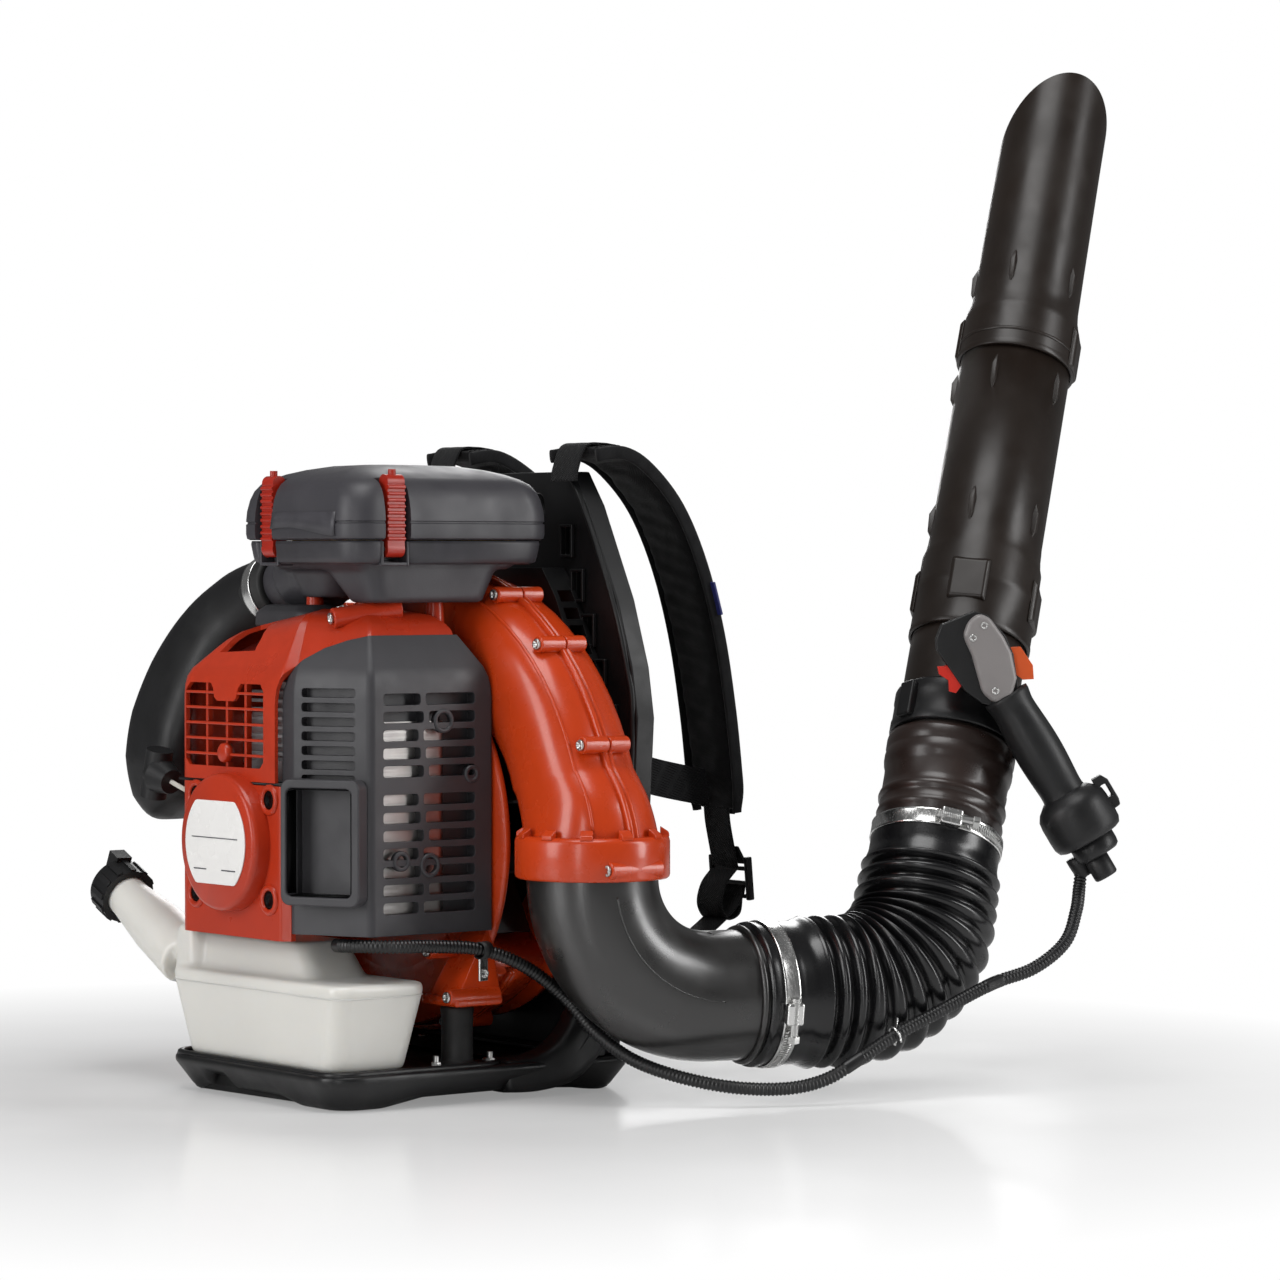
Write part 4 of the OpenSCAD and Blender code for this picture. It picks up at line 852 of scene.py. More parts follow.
def make_tubes():
    # Swivel sleeve: ribbed cuff above the upper clamp
    profile = [(44.5, -20), (48.4, -20), (48.5, 5), (49.8, 8), (50.6, 12), (51.8, 13.5), (52.2, 16),
               (51.6, 18.5),
               (50.8, 20), (50.7, 25), (51.0, 26.5), (52.4, 28), (52.8, 30.5), (52.2, 33), (51.0, 34.5),
               (50.8, 40), (50.9, 52), (51.4, 56), (52.4, 58.5), (53.0, 62), (53.0, 67), (52.4, 69),
               (52.4, 71),
               (53.1, 73), (53.2, 80), (52.6, 83.4), (48.4, 84), (48.4, 60), (44.6, 58)]
    wear(revolve("swivel_body", profile, AT_TUBE, 112), swivel_brown, "hose_end", "tube_brown",
         "swivel_sleeve")
    # Small moulded disc with plain rings
    m = AT_TUBE @ turn("Z", -62) @ Matrix.Translation(V(50.7, 0, 46)) @ turn("Y", 90)
    disc = revolve("swivel_mark", [(3.2, -0.6), (3.2, 0.5), (4.0, 0.5), (4.0, -0.6)], m, 32)
    wear(disc, swivel_brown, "hose_end", "tube_brown")
    # Lower tube
    low = [(45, 64), (48, 64), (48, 84), (48, 150), (47.9, 215), (45, 215)]
    wear(revolve("tube_lower_skin", low, AT_TUBE, 112), tube_black, "tube", "tube_brown", "tube_lower")
    # Handle bracket band
    band = [(48.2, 87), (52.2, 87), (52.9, 88.5), (52.9, 96), (52.2, 98), (52.2, 112), (52.9, 114),
            (52.9, 122), (52.2, 124), (48.2, 124)]
    wear(revolve("bracket_band", band, AT_TUBE, 112), black, "tube", "black_plastic")
    # Middle tube with its socket
    mid = [(48.2, 176), (50.3, 176), (50.9, 177.5), (50.9, 181), (50.4, 183), (50.4, 214), (50.9, 216),
           (50.9, 222),
           (50.4, 224), (50.2, 248), (48.6, 254), (47.6, 262), (47.4, 268), (47.0, 274), (47.0, 474),
           (44, 474), (44, 219), (48.2, 217)]
    wear(revolve("tube_middle_skin", mid, AT_TUBE, 112), tube_black, "tube", "tube_brown", "tube_middle")
    # Bayonet blocks at both joints
    for i, (z, body, r) in enumerate(((196, "tube", 50.0), (438, "nozzle_tube", 49.0))):
        parts = []
        for j, a in enumerate((-78, 10, 100, 190, 280)):
            mm = AT_TUBE @ turn("Z", a)
            pts = [mm @ V(rr, y, zz) for rr, hw, z0,
                   z1 in ((r - 2, 17, z, z + 40), (r + 2.2, 14, z + 3, z + 36))
                   for y in (-hw, hw) for zz in (z0, z1)]
            if j in (0, 2, 4) or i == 0:
                parts.append(soften(hull(f"bayonet_{i}_{j}", pts), 1.6, 3))
        wear(join(f"bayonet_{i}", parts), tube_black, body, "tube_brown")
    for name, r, z, count, body in (("teeth_low", 46.8, 270, 5, "tube"), ("teeth_high", 46.8, 396, 5, "tube"),
                                    ("teeth_nozzle", 44.8, 500, 5, "nozzle_tube")):
        tooth_ring(name, r, z, count, body)
    # Nozzle with a slanted mouth
    noz = [(47.4, 438), (49.6, 438), (50.4, 439), (50.4, 443), (49.7, 444.5), (49.6, 476), (48.6, 482),
           (46.6, 490),
           (45.6, 500), (45.2, 540), (44.6, 640), (44.4, 716), (41.8, 716), (42.4, 500), (43.4, 486),
           (47.4, 478)]
    obj = revolve("nozzle_skin", noz, AT_TUBE, 112)
    slab = block("slant", (-200, -200, 0), (200, 200, 300),
                 AT_TUBE @ turn("Z", 38.5) @ Matrix.Translation(V(-45, 0, 716)) @ turn("Y", 48.5))
    cut(obj, [slab])
    soften(obj, 0.5, 2, 40)
    wear(obj, tube_black, "nozzle_tube", "tube_brown", "nozzle")
    # Twist-lock slot ring
    lock = revolve("lock_ring", [(49.4, 452), (50.3, 452.6), (50.3, 455), (49.4, 455.6)], AT_TUBE, 112)
    wear(lock, tube_black, "nozzle_tube", "tube_brown")


# ---------------------------------------------------------------- handle
def handle_point(u, w, y):
    return AT_HANDLE @ V(u, y, w)


def torx(name, centre, axis, r, body, depth=1.6):
    """Round screw head with a six-lobed socket."""
    c, a = V(*centre), V(*axis).normalized()
    up = V(0, 0, 1) if abs(a.z) < 0.9 else V(1, 0, 0)
    s = a.cross(up).normalized()
    u = s.cross(a)
    loops = []
    n = 48

    def ring_of(radius, height, lobes=0.0):
        return [c + a * height + radius * (1 + lobes * math.cos(6 * TAU * k / n))
                * (math.cos(TAU * k / n) * s + math.sin(TAU * k / n) * u) for k in range(n)]

    loops = [ring_of(r, -1), ring_of(r, depth * 0.6), ring_of(r * 0.9, depth), ring_of(r * 0.55, depth, 0.16),
             ring_of(r * 0.5, depth - 1.4, 0.16)]
    wear(loft(name, loops), screw_steel, body, "machined_steel")


def make_handle():
    at = AT_HANDLE
    grip_profile = []
    for i in range(0, 33):
        z = 4 + 104 * i / 32
        k = i / 32
        r = (17.2 + 2.4 * math.sin(math.pi * k) ** 2
             + 5.0 * math.exp(-((z - 4) / 8) ** 2) + 2.0 * math.exp(-((z - 106) / 7) ** 2))
        grip_profile.append((r, z))
    grip = revolve("grip_sleeve", grip_profile, at, 64, ring=False)
    wear(grip, grip_black, "tube", "grip_plastic")
    base = [(0.01, -28), (24, -28), (27.6, -26.4), (29.6, -22), (30, -16), (30, -2), (29.2, 4), (26, 9),
            (22, 12.4), (19, 15), (0.01, 15)]
    wear(revolve("grip_base", base, at, 80, ring=False), grip_black, "tube", "grip_plastic", "handle_grip")
    neck = [(0.01, -42), (16, -42), (18.4, -40), (19, -36), (19, -26), (0.01, -24)]
    wear(revolve("grip_neck", neck, at, 64, ring=False), grip_black, "tube", "grip_plastic")
    stub = [(0.01, -60), (8.8, -60), (9.9, -58.8), (10, -56), (10, -38), (0.01, -38)]
    wear(revolve("grip_stub", stub, at @ Matrix.Translation(V(-4, -4, 0)), 48, ring=False), grip_black,
         "tube", "grip_plastic")
    gland = [(0.01, -52), (6.6, -52), (7.6, -50), (8.2, -40), (8.2, -34), (0.01, -34)]
    wear(revolve("conduit_gland", gland, at @ Matrix.Translation(V(-18, 6, 0)), 48, ring=False), grip_black,
         "tube", "grip_plastic")
    tab = prism("grip_tab", [(24, -16), (35, -15), (36.5, -10), (36.5, 8), (33, 14), (25, 14)],
                lambda u, v, w: at @ V(u, w, v), -6, 6)
    hole = prism("tab_hole", [(28, -5), (33, -5), (33, 6), (28, 6)], lambda u, v, w: at @ V(u, w, v), -9, 9)
    wear(soften(cut(tab, [hole]), 1.2, 3), grip_black, "tube", "grip_plastic")
    # Head halves
    back_line = [(-26, 176), (-30, 168), (-27, 128), (-20, 112), (-12, 104), (10, 104), (14, 114),
                 (22, 134), (24, 150), (20, 172), (12, 180), (-16, 184)]
    back = prism("head_shell", back_line, handle_point, -10, 14)
    slots = [block("slot_a", (0, -7.5, 100), (40, 7.5, 156), at),
             block("slot_b", (-40, -7.5, 128), (-12, 7.5, 160), at)]
    wear(soften(cut(back, slots), 3.2, 4, 28), grip_black, "tube", "grip_plastic", "head_back")
    face_line = [(-6, 168), (-8, 150), (-16, 120), (-12, 108), (4, 106), (14, 116), (21, 136), (22, 150),
                 (20, 170),
                 (14, 177), (4, 176)]
    face = prism("head_face", face_line, handle_point, -20, -10.2)
    wear(soften(face, 4.0, 5, 28), head_grey, "tube", "head_grey", "head_front")
    front = at.to_3x3() @ V(0, -1, 0)
    for i, (u, w) in enumerate(((0, 162), (13, 166), (-6, 116))):
        torx(f"head_screw_{i}", at @ V(u, -19.4, w), front, 3.0, "tube", 1.0)
    trig = cad_copy("trigger_blade", "throttle_trigger", 2.0, 4, 26)
    wear(trig, trigger_red, "trigger", "trigger_orange", "throttle_trigger")
    sw = cad_copy("stop_rocker", "stop_switch", 1.6, 4, 26)
    wear(sw, switch_red, "switch", "switch_red", "stop_switch")
    # Bracket arm between the tube and the grip base
    arm_pts = []
    for z in (92, 118):
        for a in range(0, 360, 20):
            arm_pts.append(AT_TUBE @ turn("Z", -85) @ V(TUBE_R + 2 + 8 * math.cos(math.radians(a)),
                                                       8 * math.sin(math.radians(a)), z))
    for y in (-7, 7):
        for a in range(0, 360, 20):
            arm_pts.append(at @ V(-2 + 11 * math.cos(math.radians(a)), y, -14
                                  + 11 * math.sin(math.radians(a))))
    arm = hull("bracket_arm", arm_pts)
    tools = [rod("cut_tube", AT_TUBE @ V(0, 0, -90), AT_TUBE @ V(0, 0, 300), TUBE_R + 0.2, 96),
             rod("cut_sleeve", AT_TUBE @ V(0, 0, -90), AT_TUBE @ V(0, 0, 85), TUBE_R + 5.5, 96),
             rod("cut_base", at @ V(0, 0, -32), at @ V(0, 0, 30), 29.6, 64)]
    wear(soften(cut(arm, tools), 2.0, 3, 40), black, "tube", "black_plastic", "handle_bracket")
    lug = block("bracket_lug", (TUBE_R + 2, -8, 90), (TUBE_R + 10, 8, 121), AT_TUBE @ turn("Z", 150))
    wear(soften(lug, 2, 3), black, "tube", "black_plastic")


# ---------------------------------------------------------------- base, arms and frame
def smoothstep(a, b, x):
    k = max(0.0, min(1.0, (x - a) / (b - a)))
    return k * k * (3 - 2 * k)


def round_rect(x0, x1, y0, y1, r, corner=8, edge=40):
    """Points round a rectangle with round corners, the same count for any size."""
    out = []
    centres = ((x1 - r, y1 - r, 0), (x0 + r, y1 - r, 90), (x0 + r, y0 + r, 180), (x1 - r, y0 + r, 270))
    for i, (cx, cy, a0) in enumerate(centres):
        arc = [(cx + r * math.cos(math.radians(a0 + 90 * k / corner)),
                cy + r * math.sin(math.radians(a0 + 90 * k / corner))) for k in range(corner + 1)]
        out += arc
        nx, ny, na = centres[(i + 1) % 4]
        end = (nx + r * math.cos(math.radians(na)), ny + r * math.sin(math.radians(na)))
        out += [(arc[-1][0] + (end[0] - arc[-1][0]) * k / edge, arc[-1][1] + (end[1] - arc[-1][1]) * k / edge)
                for k in range(1, edge)]
    return out


def super_loop(c, e, f, a, b, power, count=56):
    """Rounded loop round c, a along e and b along f."""
    out = []
    for k in range(count):
        x, y = math.cos(TAU * k / count), math.sin(TAU * k / count)
        out.append(c + e * (a * math.copysign(abs(x) ** (2 / power), x))
                   + f * (b * math.copysign(abs(y) ** (2 / power), y)))
    return out


def size_at(sizes, k):
    """Width and height at a place between the listed stations."""
    k = min(len(sizes) - 1.001, k)
    j = int(k)
    (w0, h0), (w1, h1) = sizes[j], sizes[j + 1]
    return w0 + (w1 - w0) * (k - j), h0 + (h1 - h0) * (k - j)


def make_base():
    def relief(x, y):
        """How far the underside is raised at a place on its edge."""
        up = 0.0
        if y < -120:
            up = 5.5 * smoothstep(-92, -74, x) * (1 - smoothstep(20, 60, x))
            up = max(up, 14 * smoothstep(-70, -66, x) * (1 - smoothstep(-40, -34, x)))
        if abs(x) > 100:
            up = max(up, 6 * smoothstep(-98, -60, y) * (1 - smoothstep(60, 120, y)))
        return up

    loops = []
    for z, inset, r in ((0, 17, 20), (1.2, 14.5, 22), (5, 11.5, 24), (12, 7, 26), (19, 2.5, 28),
                        (22, 0.6, 29),
                        (24, 0, 30), (26.4, 0.2, 30), (27.6, 1.4, 29), (28, 3.0, 28)):
        ring_points = round_rect(-125 + inset, 125 - inset, -150 + inset, 150 - inset, r)
        loops.append([V(x, y, z + relief(x, y) * max(0, 1 - z / 20)) for x, y in ring_points])
    tray = loft("base_tray", loops)
    wear(tray, black, "root", "black_plastic", "base_skid")
    rim = []
    for z, inset in ((27, 2.4), (30.4, 3.2), (31.2, 4.4), (31.2, 6.2), (27, 6.6)):
        rim.append([V(x, y, z) for x, y in round_rect(-125 + inset, 125 - inset, -150 + inset, 20, 24)])
    wear(loft("base_rim", rim, ring=True), black, "root", "black_plastic")
    for sx in (-1, 1):
        # Arm that sweeps up from the base to the frame
        path = [V(sx * 104, 20, 17), V(sx * 110, 52, 19), V(sx * 115, 78, 30), V(sx * 118, 98, 56),
                V(sx * 120, 110, 92), V(sx * 124, 117, 132), V(sx * 134, 121, 176)]
        sizes = [(15, 13), (15, 15), (14, 19), (12, 21), (10, 20), (8, 16), (5, 11)]
        fine = curve_through(path, 6)
        loops = []
        for i, (p, _, _, d) in enumerate(frames_along(fine)):
            w, h = size_at(sizes, i / 6)
            n = V(0, -d.z, d.y).normalized()
            loops.append(super_loop(p, V(1, 0, 0), n, w, h, 4.5, 40))
        arm = loft(f"base_arm_{'lr'[sx > 0]}", loops)
        wear(arm, black, "root", "black_plastic")
        # Raised bead along the arm's outer side
        groove = [p + V(sx * 13.2, 0, 0) + V(0, 0, 2) for p in fine[4:30]]
        groove = [g + V(-sx * 0.10 * i, 0, 0) for i, g in enumerate(groove)]
        wear(sweep(f"arm_bead_{'lr'[sx > 0]}", groove, 1.6, 10), black, "root", "black_plastic")
    # Studs with nuts that hold the tray
    nuts = []
    for x, y in ((112, -46), (-112, -46), (112, 6), (-112, 6)):
        nuts.append(rod(f"nut{x}{y}", (x, y, 26), (x, y, 33), 4.2, 6))
        nuts.append(rod(f"stud{x}{y}", (x, y, 26), (x, y, 38), 2.4, 20))
    wear(soften(join("tray_nuts", nuts), 0.4, 2), screw_steel, "root", "machined_steel")
    for x in (-90, 90):
        for y in (20, 84):
            torx(f"tray_screw_{x + 100}_{y}", (x, y, 28.2), (0, 0, 1), 4.6, "root", 1.6)
    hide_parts("screws")
    for sx in (-1, 1):
        x, y = sx * 104, -20
        m = Matrix.Translation(V(x, y, 0))
        prof = [(0.01, 28.2), (17, 28.2), (17.5, 29.6), (16.8, 31), (13.4, 31.6), (12.7, 34), (12.5, 50),
                (12.7, 68),
                (13.4, 73), (12, 75.6), (0.01, 75.6)]
        obj = revolve(f"mount_{'lr'[sx > 0]}", prof, m, 56, ring=False)
        wear(obj, mount_black, "root", "mount_rubber")
    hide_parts("rubber_mounts")


def make_frame():
    obj = cad_copy("back_panel", "back_frame", 1.8, 3, 40)
    wear(obj, satin_black, "root", "black_plastic", "back_frame")
    grille = cad_copy("intake_guard", "intake_grille", 0.5, 1, 40)
    wear(grille, black, "root", "black_plastic", "intake_grille")
    # Stepped rim along both sides of the frame, with pockets
    side = [(80, 497), (100, 470), (139, 394), (158, 340), (165, 300), (158, 200), (136, 130)]
    for sx in (-1, 1):
        steps = []
        path = [V(sx * (x - 5), 111.5, z) for x, z in side]
        fine = curve_through(path, 8)
        bead = sweep(f"frame_bead_{'lr'[sx > 0]}", fine, 2.6, 12)
        wear(bead, satin_black, "root", "black_plastic")
        for i in range(5):
            x, z = sx * (76 + 14.5 * i), 441 - 36 * i
            outer = [(x - 8.6, z - 13.4), (x + 8.6, z - 13.4), (x + 8.6, z + 13.4), (x - 8.6, z + 13.4)]
            inner = [(x - 6, z - 11), (x + 6, z - 11), (x + 6, z + 11), (x - 6, z + 11)]
            loops = [[V(u, y, w) for u, w in line] for line, y in
                     ((outer, 111), (outer, 107.6), (inner, 107.6), (inner, 113))]
            steps.append(soften(loft(f"pocket{i}", loops, ring=True), 0.8, 2))
        wear(join(f"frame_pockets_{'lr'[sx > 0]}", steps), satin_black, "root", "black_plastic")


# ---------------------------------------------------------------- fuel tank
def make_tank():
    def slab(name, *rings):
        return hull(name, [V(x, y, z) for x0, x1, y0, y1, r, z in rings
                           for x, y in round_rect(x0, x1, y0, y1, r, 6, 2)])

    body = slab("t1", (-105, 111, -141, -68, 18, 29.5), (-120, 127, -149, -60, 18, 92),
                (-119, 126, -148, -61, 17, 98))
    upper = slab("t2", (-120, 70, -136, -70, 14, 90), (-121, 40, -126, -76, 12, 126))
    left = slab("t3", (-123, -84, -144, -84, 14, 92), (-125, -96, -138, -98, 12, 131))
    neck_at = Matrix.Translation(V(-236, -122, 153)) @ turn("Y", -65)
    neck = hull("t4", [neck_at @ V(r * 0.92 * math.cos(a), r * math.sin(a), z)
                       for r, z in ((26, -122), (24, -70), (18.5, -22))
                       for a in [TAU * k / 40 for k in range(40)]])
    neck_end = rod("t5", neck_at @ V(0, 0, -40), neck_at @ V(0, 0, -8), 17.6, 48)
    tank = fuse("tank_shell", [body, upper, left, neck, neck_end], 2.2, 10, 0.5)
    wear(tank, tank_white, "root", "tank_white", "fuel_tank")
    # Moulding parting line round the widest level
    line = [V(x, y, 88) for x, y in round_rect(-119.4, 126.4, -148.7, -60.4, 18, 8, 10)]
    loops = []
    for p in line:
        n = (p - V(3, -105, 88)).normalized()
        loops.append([p + n * a + V(0, 0, b) for a,
                      b in ((-0.6, -0.6), (0.25, -0.35), (0.25, 0.35), (-0.6, 0.6))])
    wear(loft("tank_seam", loops, ring=True), tank_white, "root", "tank_white")
    cap = cad_copy("cap_body", "fuel_cap", 1.3, 3, 40)
    wear(cap, satin_black, "cap", "black_plastic", "fuel_cap")
    m = Matrix.Translation(V(-236, -122, 153)) @ turn("Y", -65)
    lip = revolve("tank_lip", [(15.2, -12), (18.2, -12), (18.2, -9.5), (15.2, -9.5)], m, 56)
    wear(lip, tank_white, "root", "tank_white")


# ---------------------------------------------------------------- fan scroll
def scroll_edge(a_turn, r):
    a = math.radians(-45 - 300 * a_turn)
    return CRANK + V(r * math.cos(a), 0, r * math.sin(a))


def scroll_rows():
    rows = []
    for i in range(61):
        k = i / 60
        outer = scroll_edge(k, 150 + 92 * k ** 1.35)
        inner = scroll_edge(k, 92 + 56 * smoothstep(0.72, 1.0, k))
        rows.append((inner, outer, 42, 3.4 - 0.7 * smoothstep(0.75, 1, k)))
    tail_in = [V(125.5, 0, 241), V(133.5, 0, 222), V(138.5, 0, 205), V(140.5, 0, 192), V(141, 0, 184)]
    tail_out = [V(214, 0, 265.5), V(232, 0, 243), V(242.5, 0, 218), V(245, 0, 198), V(245, 0, 184)]
    tail = [(a, b, h, n) for a, b, h, n in zip(curve_through(tail_in, 4), curve_through(tail_out, 4),
                                               [42 + 10.5 * smoothstep(0, 12, i) for i in range(17)],
                                               [2.7 - 0.7 * smoothstep(0, 12, i) for i in range(17)])]
    return rows + tail[1:]


def make_scroll():
    rows = scroll_rows()
    y = V(0, 1, 0)
    loops = []
    for inner, outer, half, power in rows:
        c = (inner + outer) / 2 + y * 46
        loops.append(super_loop(c, (outer - inner).normalized(), y, (outer - inner).length / 2, half, power,
                                64))
    shell = loft("scroll_duct", loops)
    wear(shell, volute_orange, "root", "orange_plastic", "volute_front", "volute_back")
    face = revolve("scroll_face", [(30, 0), (152, 0), (154, -2), (154, -5), (150, -8), (30, -8)],
                   Matrix.Translation(CRANK + V(0, 5, 0)) @ turn("X", 90), 128)
    wear(face, volute_orange, "root", "orange_plastic")
    rear = revolve("scroll_rear", [(86, 0), (152, 0), (152, -8), (94, -8), (88, -10), (86, -12), (84, -12),
                                   (84, -2)],
                   Matrix.Translation(CRANK + V(0, 87, 0)) @ turn("X", -90) @ Matrix.Scale(-1, 4,
                       V(0, 0, 1)), 128)
    wear(rear, volute_orange, "root", "orange_plastic")
    # Joint flange with its two lips
    out = []
    for inner, outer, _, _ in rows[:-3]:
        e = (outer - inner).normalized()
        out.append([outer + e * a + y * (46 + b) for a, b in
                    ((-5, -4.4), (3.2, -4.4), (4.2, -3.4), (4.2, -0.7), (3.0, -0.35), (3.0, 0.35), (4.2, 0.7),
                     (4.2, 3.4), (3.2, 4.4), (-5, 4.4))])
    wear(loft("scroll_flange", out), volute_orange, "root", "orange_plastic")
    # Crease that runs beside the flange on the front half
    crease_turn = 0.62
    crease = []
    for inner, outer, half, power in rows[14:-8]:
        e = (outer - inner).normalized()
        a = (outer - inner).length / 2
        c = (inner + outer) / 2
        x = abs(math.cos(crease_turn)) ** (2 / power)
        v = abs(math.sin(crease_turn)) ** (2 / power)
        crease.append(c + e * (a * x - 0.4) + y * (46 - half * v))
    wear(sweep("scroll_crease_0", crease, 1.5, 10), volute_orange, "root", "orange_plastic")
    bosses, heads = [], []
    for i, a in enumerate((-150, 160, 118, 59, 42, 19, -72)):
        k = (315 - a if a > -45 else -45 - a) / 300
        p = scroll_edge(k, 150 + 92 * k ** 1.35 + 3)
        e = (p - CRANK).normalized()
        bosses.append(soften(rod(f"boss{i}", p + y * 22, p + y * 45.6, 6.6, 32), 1.0, 2))
        bosses.append(soften(rod(f"bossb{i}", p + y * 46.4, p + y * 66, 6.6, 32), 1.0, 2))
        bosses.append(soften(hull(f"web{i}", [p + e * s + y * t for s, t in
                                              ((-14, 20), (-14, 60), (2, 30), (2, 60))]
                                  + [p + e * s + y * t + e.cross(y) * q for q in (4, -4)
                                     for s, t in ((-14, 24), (-14, 60), (0, 30), (0, 60))]),
                             1.0, 2))
        heads.append(p + y * 21)
    # Boss at the collar
    collar_at = OUTLET + V(54, 0, 9)
    bosses.append(soften(rod("cb1", collar_at - y * 26, collar_at - y * 0.6, 6.8, 32), 1.0, 2))
    bosses.append(soften(rod("cb2", collar_at + y * 0.6, collar_at + y * 24, 6.8, 32), 1.0, 2))
    heads.append(collar_at - y * 27)
    wear(join("scroll_bosses", bosses), volute_orange, "root", "orange_plastic")
    for i, p in enumerate(heads):
        torx(f"scroll_screw_{i}", p, (0, -1, 0), 4.4, "root", 1.4)
    collar = [(52.4, 0), (58.6, 0), (60.0, 1.2), (60.6, 3), (60.6, 29), (59.8, 31.5), (57.5, 33.4),
              (52.4, 34)]
    wear(revolve("scroll_collar", collar, Matrix.Translation(OUTLET), 112), volute_orange, "root",
         "orange_plastic")
    ribs = []
    for a in range(-170, 60, 32):
        mm = Matrix.Translation(OUTLET) @ turn("Z", a)
        ribs.append(soften(hull(f"cr{a}", [mm @ V(x, w, z)
                                           for x, z in ((53, 32), (60, 32), (59.6, 35.6), (53, 40))
                                           for w in (-5, 5)]), 0.8, 2))
    wear(join("collar_ribs", ribs), volute_orange, "root", "orange_plastic")
    # Feet on the rubber mounts
    feet = []
    for sx in (-1, 1):
        x = 104 * sx
        pts = [V(x + a, b, c) for a, b, c in ((-24, -38, 76), (24, -38, 76), (24, 8, 76), (-24, 8, 76),
                                              (-24, -38, 84), (24, -38, 84), (24, 8, 84), (-24, 8, 84))]
        feet.append(soften(hull(f"f{sx}", pts), 3, 3))
        pts = [V(x + a, b, c) for a, b, c in ((-20, -34, 82), (20, -34, 82), (22, 8, 82), (-22, 8, 82),
                                              (-sx * 10 - 8, -8, 124), (-sx * 10 + 8, -8, 124),
                                              (-sx * 8 - 14, 8, 140), (-sx * 8 + 14, 8, 140))]
        feet.append(soften(hull(f"g{sx}", pts), 3, 3))
        feet.append(soften(rod(f"h{sx}", (x + 18 * sx, -42, 84), (x + 18 * sx, 6, 84), 6.2, 28), 1, 2))
        feet.append(soften(rod(f"i{sx}", (x - 12 * sx, -40, 118), (x - 12 * sx, 6, 118), 6.2, 28), 1, 2))
    wear(join("scroll_feet", feet), volute_orange, "root", "orange_plastic")
    torx("foot_screw_0", (122, -43, 84), (0, -1, 0), 4.4, "root", 1.4)
    torx("foot_screw_1", (92, -41, 118), (0, -1, 0), 4.4, "root", 1.4)


# ---------------------------------------------------------------- engine covers
def rounded_plan(corners, radii, inset, seg=7):
    """Outline with rounded corners, moved inward."""
    count = len(corners)
    edges = []
    for k in range(count):
        a, b = Vector(corners[k]), Vector(corners[(k + 1) % count])
        d = (b - a).normalized()
        edges.append((a + inset * Vector((-d.y, d.x)), d))
    points = []
    for k in range(count):
        (p, d), (q, e) = edges[k - 1], edges[k]
        across = d.x * e.y - d.y * e.x
        gap = q - p
        c = p + d * ((gap.x * e.y - gap.y * e.x) / across)
        bend = d.angle(e)
        r = max(1.2, radii[k] - 0.15 * inset)
        first = c - d * r * math.tan(bend / 2)
        centre = first + r * Vector((-d.y, d.x))
        start = math.atan2(-d.x, d.y)
        for m in range(seg + 1):
            a = start + bend * m / seg
            points.append(centre + r * Vector((math.cos(a), math.sin(a))))
    return points


HOOD = [(0, 318), (0.5, 326), (2, 333), (5, 339), (21, 355), (26, 359), (34, 363), (46, 366), (60, 368)]


def hood_solid(name, corners, radii, bottom, shrink=0.0):
    """Box with a slanted, gently domed top."""
    loops = []
    for inset, z in [(0, bottom)] + HOOD:
        ring = rounded_plan(corners, radii, inset + shrink)
        share = min(1, inset / 30)
        loops.append([V(q.x, q.y, z + (share * 19 * smoothstep(-104, 30, q.x)
                                       if z > 318 else 0) - shrink * (z > 318))
                      for q in ring])
    return loft(name, loops)


ORANGE_PLAN = [(-102, 3.4), (-102, -149.6), (48, -149.6), (56.4, -141.2), (118.8, -112), (118.8, 3.4)]
GREY_PLAN = [(20, 3.6), (20, -142.6), (57.6, -142.6), (120, -113), (120, 3.6)]
GREY_EDGE = [(41.5, 120), (41.5, 312), (43, 324), (48, 337), (57, 348), (69, 357), (84, 363), (100, 367),
             (135, 372), (135, 120)]


def front_prism(name, outline, y0, y1):
    return prism(name, outline, lambda u, v, w: V(u, w, v), y0, y1)


